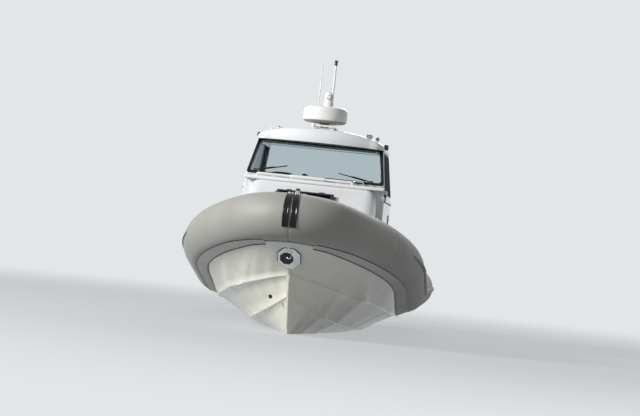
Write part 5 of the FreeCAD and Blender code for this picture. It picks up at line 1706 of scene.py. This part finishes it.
@dataclass(frozen=True)
class RoofGear:
    """Radome, camera turret, light pole, whip, position antenna, searchlight and horn."""

    radome_foot: Vector = Vector((0, -1.32, 2.5874))
    radome_radius: float = 0.279
    radome_height: float = 0.208
    turret_foot: Vector = Vector((0, -1, 2.8174))
    pole_foot: Vector = Vector((0.035, -0.89, 2.559))
    pole_top: float = 3.36
    whip_foot: Vector = Vector((-0.141, -0.81, 2.495))
    mushroom_feet: tuple[Vector, Vector] = (Vector((-0.112, -1.59, 2.49)), Vector((-0.635, -1.5, 2.405)))

    def radome(self) -> tuple[Shape, Shape]:
        """The radome's white dome, and its lower tray in a grey that is painted shade.

        Returns:
            Both shapes, in that order.
        """
        radius, height = self.radome_radius, self.radome_height
        dome = [(0.965, 0.13), (0.985, 0.16), (0.995, 0.24), (1, 0.4), (1, 0.62), (0.992, 0.74),
            (0.972, 0.85), (0.93, 0.93), (0.86, 0.975), (0.7, 0.99), (0.4, 0.998), (0, 1)]
        tray = [(0, 0), (0.5, 0), (0.8, 0), (0.86, 0.02), (0.955, 0.1), (0.975, 0.125), (0.968, 0.14),
            (0.94, 0.14)]
        profiles = [[(u * radius, v * height) for u, v in profile] for profile in (dome, tray)]
        return tuple(lathe(profile, self.radome_foot, steps=72) for profile in profiles)

    def turret(self) -> tuple[Shape, Shape]:
        """The camera turret's body, and its lens.

        Returns:
            Both shapes, in that order.
        """
        profile = [(0, 0), (0.06, 0), (0.062, 0.004), (0.062, 0.048), (0.06, 0.054), (0.052, 0.066),
            (0.048, 0.078), (0.05, 0.086), (0.0555, 0.094), (0.0575, 0.108), (0.0575, 0.136),
            (0.055, 0.152), (0.049, 0.168), (0.039, 0.18), (0.026, 0.188), (0.012, 0.1915), (0, 0.192)]
        body = lathe(profile, self.turret_foot, steps=48)
        eye = self.turret_foot + Vector((0.006, -0.056, 0.122))
        profile = mm([(30, -12), (30, 0), (26, 2), (24, -4), (0, -4)])
        return body, lathe(profile, eye, (0.1, -1, 0.05), 32)

    def pole(self) -> tuple[Shape, Shape]:
        """The all-round light on its pole: the white tube, and the lamp on top.

        Returns:
            Both shapes, in that order.
        """
        foot, height = self.pole_foot, self.pole_top - self.pole_foot.z
        tube = lathe([(0, 0), (0.022, 0), (0.022, 0.02), (0.014, 0.026), (0.0135, height * 0.5),
            (0.0125, height)], foot, steps=24)
        lamp = lathe(mm([(12.5, 0), (21, 2), (22, 8), (20, 14), (19, 16), (19, 46), (22, 48), (22, 58),
            (18, 66), (10, 69.5), (0, 70)]), foot + Vector((0, 0, height)), steps=32)
        return tube, lamp

    def whip(self) -> tuple[Shape, Shape]:
        """The whip antenna and its ratchet mount.

        Returns:
            Both shapes, in that order.
        """
        rod = lathe(mm([(9, 50), (8.5, 300), (6, 890), (4, 894), (0, 895)]), self.whip_foot, steps=16)
        mount = lathe(mm([(0, 0), (17, 0), (17, 6), (13, 12), (12, 30), (15, 34), (15, 50), (9, 60)]),
            self.whip_foot, steps=24)
        return rod, mount

    def mushroom(self, place: Vector, scale: float) -> Shape:
        """A small mushroom-shaped antenna.

        Args:
            place: Its foot.
            scale: Its size, where 1 is 76 mm high.

        Returns:
            The shape.
        """
        profile = [(0, 0), (0.01, 0), (0.01, 0.036), (0.02, 0.04), (0.022, 0.048), (0.02, 0.062),
            (0.013, 0.072), (0, 0.076)]
        return lathe([(u * scale, v * scale) for u, v in profile], place, steps=28)

    def horn(self) -> Shape:
        """The twin-trumpet horn on the port side of the roof.

        Returns:
            The shape.
        """
        shapes = [block((0.055, 0.07, 0.022), (0.6, -1.5, 2.445), 0.006, 3)]
        for x, reach in ((0.588, 0.14), (0.616, 0.11)):
            shapes.append(lathe([(0.006, 0), (0.007, reach * 0.55), (0.011, reach * 0.8),
                (0.021, reach * 0.97), (0.023, reach), (0.02, reach), (0.009, reach * 0.8)],
                (x, -1.49, 2.469), (0, -1, 0), 24))
        return together(*shapes)

    def searchlight(self) -> tuple[Shape, Shape]:
        """The searchlight's white shell on its stem, and its lens.

        Returns:
            Both shapes, in that order.
        """
        low, high = box_corners("searchlight")
        x, y, z = (low.x + high.x) / 2, low.y, high.z - 0.03
        stem = lathe(mm([(13, 0), (13, 4), (10, 8), (10, 30)]), (x, (low.y + high.y) / 2, low.z), steps=24)
        shell = lathe(mm([(26, 0), (29.5, 2), (30, 12), (28, 50), (22, 72), (10, 79), (0, 80)]), (x, y, z),
            (0, 1, 0), 36)
        lens = lathe(mm([(0, -1), (15, 0), (26.5, 2)]), (x, y, z), (0, 1, 0), 36)
        return together(stem, shell), lens

    def build(self) -> None:
        """Builds the roof gear."""
        dome, tray = self.radome()
        turret, eye = self.turret()
        tube, lamp = self.pole()
        rod, mount = self.whip()
        light, lens = self.searchlight()
        large, small = (self.mushroom(foot, scale) for foot, scale in zip(self.mushroom_feet, (1, 0.75)))
        publish("radome_dome", dome, Surface.ABS, stands_for=["radome"])
        # The tray's warm grey is painted shade under the dome.
        publish("radome_tray", tray, Surface.SHADED_TRAY)
        publish("turret_body", turret, Surface.ABS, stands_for=["camera_turret"])
        publish("turret_lens", eye, Surface.LENS)
        publish("pole_tube", tube, Surface.ABS, stands_for=["light_pole"])
        publish("pole_lamp", lamp, Surface.BLACK)
        publish("whip_rod", rod, Surface.ABS, stands_for=["whip_antenna"])
        publish("whip_mount", mount, Surface.STEEL)
        publish("position_mushroom", large, Surface.ABS, stands_for=["position_antenna"])
        publish("roof_mushroom", small, Surface.ABS)
        publish("searchlight_shell", light, Surface.ABS, stands_for=["searchlight"])
        publish("searchlight_lens", lens, Surface.DIAL)
        publish("roof_horn", self.horn(), Surface.STEEL)


@dataclass(frozen=True)
class Upholstery:
    """Seats and the sunpad: padded vinyl with sewn channels and piping."""

    seat_y: float = -0.76
    seat_z: float = 0.8808
    width: float = 0.44
    cord: float = 0.0042

    def pad(self, size: tuple[float, float, float], place: Vector, turn: Matrix, crown: float,
            channels: int) -> Shape:
        """A crowned pad whose sides pull in between its corners, with sewn channels across it.

        Args:
            size: Its width, depth and thickness.
            place: The middle of its underside.
            turn: Its rotation.
            crown: How much its middle swells.
            channels: How many panels the top is sewn into.

        Returns:
            The shape.
        """
        shape = block(size, (0, 0, size[2] / 2), min(0.028, size[2] * 0.4), 4)
        bmesh.ops.subdivide_edges(shape, edges=shape.edges[:], cuts=4, use_grid_fill=True)
        for vert in shape.verts:
            u, v, w = 2 * vert.co.x / size[0], 2 * vert.co.y / size[1], vert.co.z / size[2]
            dome = (1 - u * u) * (1 - v * v)
            waist = 0.012 * sin(pi * min(1, max(0, w)))
            vert.co.x *= 1 - waist * (1 - v * v)
            vert.co.y *= 1 - waist * (1 - u * u)
            if w > 0.5:
                phase = (v + 1) / 2 * channels
                inner = 0.4 < phase < channels - 0.4
                sewn = abs(phase - round(phase)) * size[1] / channels if inner else 1.0
                groove = exp(-(sewn / 0.006) ** 2)
                vert.co.z += crown * max(0, dome) - 0.007 * groove * min(1, 6 * (1 - abs(u)))
        bmesh.ops.transform(shape, matrix=Matrix.Translation(place) @ turn.to_4x4(), verts=shape.verts)
        return shape

    def piping(self, size: tuple[float, float, float], place: Vector, turn: Matrix, rise: float) -> Shape:
        """The piping sewn round a pad.

        Args:
            size: The pad's width, depth and thickness.
            place: The middle of its underside.
            turn: Its rotation.
            rise: The share of the thickness at which it runs.

        Returns:
            The shape.
        """
        half_x, half_y, corner = size[0] / 2 - 0.001, size[1] / 2 - 0.001, 0.028
        line = []
        for sign_x, sign_y, start in ((1, 1, 0), (-1, 1, 90), (-1, -1, 180), (1, -1, 270)):
            for angle in steps(start, start + 90, 6):
                bend = radians(angle)
                x = sign_x * (half_x - corner) + corner * cos(bend)
                y = sign_y * (half_y - corner) + corner * sin(bend)
                line.append(Matrix.Translation(place) @ turn.to_4x4() @ Vector((x, y, size[2] * rise)))
        rings, up = [], turn @ Vector((0, 0, 1))
        for index, here in enumerate(line):
            ahead = (line[(index + 1) % len(line)] - line[index - 1]).normalized()
            rings.append(circle(here, ahead.cross(up), up, self.cord, 8))
        return drape(rings + [rings[0]], closed=True)

    def seat(self, name: str, x: float) -> None:
        """Builds one seat: base cushion, back and headrest, piping and the shell behind.

        Args:
            name: The seat's name.
            x: Its middle.
        """
        flat = Matrix.Identity(3)
        lean = Matrix.Rotation(radians(83), 3, "X")
        base_size = (self.width - 0.012, 0.4, 0.115)
        base_place = Vector((x, self.seat_y + 0.205, self.seat_z + 0.002))
        back_size = (self.width - 0.03, 0.36, 0.06)
        back_place = Vector((x, self.seat_y + 0.462, self.seat_z + 0.32))
        head_size = (self.width - 0.13, 0.13, 0.062)
        head_place = Vector((x, self.seat_y + 0.494, self.seat_z + 0.58))
        pads = {"base": (base_size, base_place, flat, 0.016, 3),
            "back": (back_size, back_place, lean, 0.018, 4),
            "head": (head_size, head_place, lean, 0.012, 1)}
        for part, (size, place, turn, crown, channels) in pads.items():
            nodes = ["seat_" + name] if part == "base" else []
            piece = publish("seat_%s_%s" % (part, name), self.pad(size, place, turn, crown, channels),
                Surface.VINYL, stands_for=nodes, crease=60)
            publish("seat_piping_%s_%s" % (part, name), self.piping(size, place, turn, 0.62),
                Surface.PIPING, crease=60)
        back_middle = (x, self.seat_y + 0.474, self.seat_z + 0.335)
        base_middle = (x, self.seat_y + 0.205, self.seat_z + 0.0045)
        behind = block((self.width - 0.01, 0.022, 0.6), back_middle, 0.01, 3,
            Matrix.Rotation(radians(-7), 3, "X"))
        under = block((self.width - 0.04, 0.32, 0.008), base_middle, 0.003, 2)
        publish("seat_shell_" + name, together(behind, under), Surface.ABS)

    def sunpad(self) -> None:
        """Builds the pad on the engine box."""
        low, high = box_corners("engine_cushion")
        size = (high.x - low.x - 0.006, high.y - low.y - 0.006, high.z - low.z - 0.002)
        place = Vector(((low.x + high.x) / 2, (low.y + high.y) / 2, low.z))
        flat = Matrix.Identity(3)
        piece = publish("sunpad", self.pad(size, place, flat, 0.012, 4), Surface.VINYL, "engine_box",
            ["engine_cushion"], 60)
        publish("sunpad_piping", self.piping(size, place, flat, 0.8), Surface.PIPING, "engine_box",
            crease=60)

    def build(self) -> None:
        """Builds all of the upholstery."""
        for name, x in (("starboard", -0.5), ("middle", 0), ("port", 0.5)):
            self.seat(name, x)
        self.sunpad()


@dataclass(frozen=True)
class Helm:
    """The wheel and what is on the dashboard."""

    centre: Vector = Vector((-0.42, -1.26328, 1.63187))
    axis: Vector = Vector((0, 0.95356, 0.30121))
    rim: float = 0.175

    def wheel(self) -> tuple[Shape, Shape]:
        """The wheel's rim with its hub, and its three steel spokes.

        Returns:
            Both shapes, in that order.
        """
        turn = self.axis.to_track_quat("Z", "Y").to_matrix()
        rings = []
        for k in range(64):
            angle = tau * k / 64
            out = turn @ Vector((cos(angle), sin(angle), 0))
            grip = 0.0145 - 0.0012 * abs(sin(12 * angle))
            rings.append(circle(self.centre + out * self.rim, out, self.axis, grip, 20))
        rim = drape(rings + [rings[0]], closed=True)
        hub = lathe(mm([(16.5, -22), (36, -22), (36, 8), (31, 18), (22, 22.5), (0, 23.5)]), self.centre,
            self.axis, 36)
        spokes = []
        across = self.axis.cross(Vector((1, 0, 0)))
        for degrees in (0, 180, 270):
            angle = radians(degrees)
            way = Vector((1, 0, 0)) * cos(angle) + across * sin(angle)
            for offset in (-0.012, 0.012):
                aside = self.axis.cross(way) * offset
                root = self.centre + aside + way * 0.028
                bend = self.centre + aside + way * 0.1 + self.axis * 0.003
                end = self.centre + aside * 0.6 + way * (self.rim - 0.004)
                spokes.append(bar([root, bend, end], 0.0045, 0.02, 10))
        return together(rim, hub), together(*spokes)

    def panel_point(self, x: float, up: float, out: float) -> Vector:
        """A point on the dashboard's sloping face.

        Args:
            x: Its place across the boat.
            up: How far up the face.
            out: How far proud of it.

        Returns:
            The point.
        """
        low, high = Vector((x, -1.352, 1.502)), Vector((x, -1.408, 1.688))
        rise = (high - low).normalized()
        return low + rise * up + Vector((0, rise.z, -rise.y)) * out

    def instruments(self) -> tuple[Shape, Shape, Shape]:
        """Two chart screens, a row of round gauges and a row of switches: bezels, glasses and rims.

        Returns:
            The three shapes, in that order.
        """
        turn = Matrix.Rotation(atan2(0.056, 0.186), 3, "X")
        bezels, glasses, rims = [], [], []
        for x, wide in ((-0.02, 0.3), (0.33, 0.24)):
            bezels.append(block((wide, 0.022, 0.17), self.panel_point(x, 0.1, 0.008), 0.008, 3, turn))
            glasses.append(block((wide - 0.034, 0.006, 0.135), self.panel_point(x, 0.102, 0.0195), 0.002,
                2, turn))
        out = (self.panel_point(0, 0, 1) - self.panel_point(0, 0, 0)).normalized()
        for x in (-0.63, -0.55, -0.285, -0.215):
            spot = self.panel_point(x, 0.135, 0)
            rims.append(lathe(mm([(34, 0), (34, 6), (28, 9), (27, 5)]), spot, out, 32))
            glasses.append(lathe(mm([(28.5, 5.5), (0, 6)]), spot, out, 32))
        for k in range(8):
            place = self.panel_point(-0.13 + 0.036 * k, 0, 0.004) - Vector((0, 0, 0.03))
            bezels.append(block((0.02, 0.012, 0.03), place, 0.003, 2, turn))
        return together(*bezels), together(*glasses), together(*rims)

    def throttle(self) -> tuple[Shape, Shape]:
        """The binnacle with its two levers.

        Returns:
            Both shapes, in that order.
        """
        base = lathe(mm([(50, 0), (50, 30), (42, 44), (0, 50)]), (-0.17, -1.49, 1.72), (0, 0.35, 1), 36)
        levers = [bar([(x, -1.47, 1.76), (x, -1.455, 1.83), (x + 0.014, -1.45, 1.85)], 0.006, 0.02, 10)
            for x in (-0.19, -0.155)]
        return base, together(*levers)

    def hood(self) -> Shape:
        """The anti-glare hood over the dashboard, raised in front of the helm.

        Returns:
            The shape.
        """
        rings = []
        for x in steps(-0.68, 0.68, 41):
            lift = 0.045 * exp(-((x + 0.42) / 0.17) ** 4) + 0.02 * exp(-((x - 0.3) / 0.24) ** 4)
            top = 1.868 + lift - 0.03 * max(0, abs(x) - 0.62) / 0.06
            profile = [(-1.8, 1.822), (-1.8, top - 0.022), (-1.79, top - 0.008), (-1.76, top), (-1.6, top),
                (-1.47, top - 0.006), (-1.44, top - 0.02), (-1.445, top - 0.032), (-1.47, 1.822)]
            rings.append([Vector((x, y, z)) for y, z in profile])
        return drape(rings, closed=True, capped=True)

    def compass(self) -> Shape:
        """The domed compass on top of the dashboard."""
        return lathe(mm([(50, 0), (52, 12), (46, 30), (34, 48), (18, 58), (0, 61)]), (-0.16, -1.56, 1.865),
            steps=36)

    def build(self) -> None:
        """Builds the helm."""
        rim, spokes = self.wheel()
        publish("wheel_rim", rim, Surface.VINYL, "helm_wheel", ["helm_wheel"], 50)
        publish("wheel_spokes", spokes, Surface.STEEL, "helm_wheel", crease=50)
        bezels, glasses, rims = self.instruments()
        base, levers = self.throttle()
        publish("dash_bezels", bezels, Surface.BLACK)
        publish("dash_glasses", glasses, Surface.DIAL)
        publish("dash_gauge_rims", rims, Surface.STEEL)
        publish("throttle_base", base, Surface.BLACK)
        publish("throttle_levers", levers, Surface.STEEL)
        publish("dash_hood", self.hood(), Surface.BLACK)
        publish("compass_dome", self.compass(), Surface.DIAL)


@dataclass(frozen=True)
class Cockpit:
    """Cleats on the side decks, and the latches of the engine box."""

    cleat_x: float = 0.878
    cleat_y: tuple[float, float] = (2.55, 0.45)
    deck_z: float = 0.64

    def cleat(self, place: Vector) -> Shape:
        """A two-post horn cleat lying fore and aft.

        Args:
            place: The middle of its foot.

        Returns:
            The shape.
        """
        line = ((-0.09, 0.038), (-0.04, 0.045), (0.04, 0.045), (0.09, 0.038))
        shapes = [bar([place + Vector((0, y, z)) for y, z in line], 0.01, 0.03, 12)]
        for y in (-0.032, 0.032):
            shapes.append(lathe(mm([(22, 0), (22, 4), (12, 10), (10, 42)]), place + Vector((0, y, 0)),
                steps=20))
        return together(*shapes)

    def latch(self) -> Shape:
        """The two rubber over-centre latches on the after face of the engine box.

        Returns:
            The shape.
        """
        high = box_corners("engine_box")[1]
        shapes = []
        for x in (-0.28, 0.28):
            shapes.append(block((0.05, 0.016, 0.09), (x, high.y + 0.006, high.z - 0.1), 0.005, 2))
            shapes.append(block((0.032, 0.02, 0.018), (x, high.y + 0.014, high.z - 0.06), 0.005, 2))
        return together(*shapes)

    def build(self) -> None:
        """Builds the cockpit's fittings."""
        for name, side in SIDES.items():
            places = [Vector((self.cleat_x * side, y, self.deck_z)) for y in self.cleat_y]
            publish("cleats_" + name, together(*map(self.cleat, places)), Surface.STEEL, crease=40)
        publish("engine_box_latches", self.latch(), Surface.BLACK, "engine_box")


@dataclass(frozen=True)
class Sterndrive:
    """The sterndrive's two propellers with their twisted blades."""

    hub: float = 0.062
    shaft_z: float = -0.33

    def propeller(self, node: str, blades: int, tip: float, hand: int) -> Shape:
        """A propeller with swept, twisted blades on a flared hub.

        Args:
            node: The solid it stands for.
            blades: How many blades it has.
            tip: The radius at their tips.
            hand: Which way they are twisted.

        Returns:
            The shape.
        """
        low, high = box_corners(node)
        centre, half = Vector((0, (low.y + high.y) / 2, self.shaft_z)), (high.y - low.y) / 2
        hub = lathe([(0.0165, -half), (0.055, -half), (0.06, -half + 0.004), (0.061, 0),
            (0.0615, half - 0.004), (0.057, half), (0.0165, half), (0.0165, -half)], centre, (0, 1, 0), 40)
        shapes = [hub]
        root = self.hub - 0.006
        for number in range(blades):
            rings = []
            for t in steps(0, 1, 12):
                radius = root + (tip - root) * t
                pitch = radians(58 - 34 * t) * hand
                closing = 1.0 if t < 0.8 else sqrt((1.0001 - t) / 0.2)
                chord = 0.034 + 0.06 * sin(pi * min(1, 0.18 + 0.66 * t)) * closing
                chord *= 0.62 if t < 0.05 else 1.0
                skew = tau * number / blades + 0.35 * hand * t * t
                thick = 0.0052 * (1 - 0.7 * t)
                ring = []
                for k in range(14):
                    angle = tau * k / 14
                    along, proud = 0.5 * chord * cos(angle), thick * sin(angle)
                    across = along * cos(pitch) - proud * sin(pitch)
                    aft = max(-half, min(half, along * sin(pitch) + proud * cos(pitch)))
                    spin = skew + across / radius
                    ring.append(centre + Vector((radius * sin(spin), aft, radius * cos(spin))))
                rings.append(ring)
            shapes.append(drape(rings, closed=True, capped=True))
        return together(*shapes)

    def build(self) -> None:
        """Builds the propellers."""
        for node, *build in (("propeller_fore", 4, 0.166, 1), ("propeller_aft", 3, 0.16, -1)):
            publish(node + "_casting", self.propeller(node, *build), Surface.BRONZE, node, [node], 40)


@dataclass(frozen=True)
class Viewpoint:
    """The camera, fitted to the boat's outline as seen from the water ahead."""

    aim: Vector = Vector((0.0, -4.6, 1.622))
    yaw: float = 5.0
    elevation: float = -1.157
    roll: float = 6.1
    distance: float = 25.0
    span: float = 7.117
    width: int = 640
    shift: tuple[float, float] = (25.7, -15.87)

    def build(self) -> None:
        """Creates the camera and makes it the scene's own."""
        yaw, tilt, roll = (radians(v) for v in (self.yaw, self.elevation, self.roll))
        ahead = Vector((-sin(yaw) * cos(tilt), cos(yaw) * cos(tilt), -sin(tilt)))
        right = ahead.cross(Vector((0, 0, 1))).normalized()
        up = right.cross(ahead)
        right, up = right * cos(roll) + up * sin(roll), up * cos(roll) - right * sin(roll)
        lens = bpy.data.cameras.new("camera")
        lens.sensor_width = 36.0
        lens.lens = lens.sensor_width * self.distance / self.span
        lens.shift_x, lens.shift_y = (shift / self.width for shift in self.shift)
        lens.clip_end = 500.0
        camera = bpy.data.objects.new("camera", lens)
        bpy.context.scene.collection.objects.link(camera)
        turn = Matrix((right, up, -ahead)).transposed().to_4x4()
        camera.matrix_world = Matrix.Translation(self.aim - ahead * self.distance) @ turn
        bpy.context.scene.camera = camera


@dataclass(frozen=True)
class Studio:
    """A pale floor at the waterline, a pale surround and soft lamps."""

    floor_size: float = 400.0
    floor_colour: str = "a9adb0"
    floor_glow: float = 0.6
    backdrop: str = "e3e6e8"
    world_strength: float = 0.28

    def floor(self) -> None:
        """Lays the floor: the backdrop's colour to the camera, with the boat's shadow on it."""
        shape = bmesh.new()
        bmesh.ops.create_grid(shape, x_segments=1, y_segments=1, size=self.floor_size / 2)
        mesh = bpy.data.meshes.new("studio_floor")
        shape.to_mesh(mesh)
        shape.free()
        material = bpy.data.materials.new("studio_floor")
        material.use_nodes = True
        material.node_tree.nodes.clear()
        graph = Graph(material.node_tree)
        rays = graph.add("LightPath")
        matt = graph.add("BsdfDiffuse", {"Color": linear(self.floor_colour)})
        glow = graph.add("Emission", {"Color": linear(self.backdrop), "Strength": 1.0})
        place = graph.add("TexCoord").outputs["Object"]
        reach = graph.add("VectorMath", {0: place}, operation="LENGTH").outputs["Value"]
        far = graph.add("MapRange", {"Value": reach, "From Min": 5.0, "From Max": 16.0,
            "To Min": self.floor_glow}, interpolation_type="SMOOTHSTEP").outputs["Result"]
        seen = graph.add("Math", {0: rays.outputs["Is Camera Ray"], 1: rays.outputs["Is Glossy Ray"]},
            operation="MAXIMUM")
        share = graph.add("Math", {0: seen.outputs[0], 1: far}, operation="MULTIPLY")
        mixed = graph.add("MixShader", {0: share.outputs[0], 1: matt.outputs["BSDF"],
            2: glow.outputs["Emission"]})
        graph.add("OutputMaterial", {"Surface": mixed.outputs["Shader"]})
        mesh.materials.append(material)
        ground = bpy.data.objects.new("studio_floor", mesh)
        bpy.context.scene.collection.objects.link(ground)

    def world(self) -> None:
        """Sets the surround: the backdrop's colour to the camera and through glass, softer as light."""
        world = bpy.data.worlds.new("surround")
        bpy.context.scene.world = world
        world.use_nodes = True
        world.node_tree.nodes.clear()
        graph = Graph(world.node_tree)
        rays = graph.add("LightPath").outputs
        glassy = graph.add("Math", {0: rays["Is Glossy Ray"], 1: rays["Is Transmission Ray"]},
            operation="MAXIMUM")
        shown = graph.add("Math", {0: rays["Is Camera Ray"], 1: glassy.outputs[0]}, operation="MAXIMUM")
        strength = graph.add("MapRange", {"Value": shown.outputs[0], "To Min": self.world_strength,
            "To Max": 1.0})
        light = strength.outputs["Result"]
        back = graph.add("Background", {"Color": linear(self.backdrop), "Strength": light})
        graph.add("OutputWorld", {"Surface": back.outputs["Background"]})

    def lamp(self, name: str, place: tuple[float, float, float], size: float, power: float) -> None:
        """Adds one soft lamp that faces the boat.

        Args:
            name: The lamp's name.
            place: Where it stands.
            size: Its width in metres.
            power: Its power in watts.
        """
        light = bpy.data.lights.new(name, "AREA")
        light.size = size
        light.energy = power
        lamp = bpy.data.objects.new(name, light)
        bpy.context.scene.collection.objects.link(lamp)
        away = Vector(place) - Vector((0.0, -2.0, 1.0))
        lamp.matrix_world = Matrix.Translation(place) @ away.to_track_quat("Z", "Y").to_matrix().to_4x4()

    def build(self) -> None:
        """Sets up floor, surround, lamps and the view transform."""
        self.floor()
        self.world()
        self.lamp("key", (-15.0, -14.0, 9.0), 4.0, 4600.0)
        self.lamp("fill", (13.0, -12.0, 5.0), 8.0, 90.0)
        self.lamp("back", (3.0, 16.0, 11.0), 9.0, 950.0)
        bpy.context.scene.view_settings.view_transform = "Standard"


def body_names(record: dict) -> dict[str, str]:
    """Each node's body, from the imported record."""
    return {node: body for body, nodes in record["behaviour"]["bodies"].items() for node in nodes}


def main() -> None:
    """Loads the frame, dresses it, and sets up the view."""
    logging.basicConfig(level=logging.INFO, format="%(name)s: %(message)s")
    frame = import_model()
    Viewpoint().build()
    Studio().build()
    skins = SolidSkins(frame["nodes"], body_names(frame["record"]))
    for node, finish in SKINS.items():
        skins.skin(node, *finish)
    HullShell().build(frame["nodes"])
    Foredeck().build()
    assemblies = (AirTubes(), Rubbing(), Coachroof(), Roof(), Windscreen(), CabinSides(), RoofGear(),
        Upholstery(), Helm(), Cockpit(), Sterndrive())
    for assembly in assemblies:
        assembly.build()


if __name__ == "__main__":
    main()
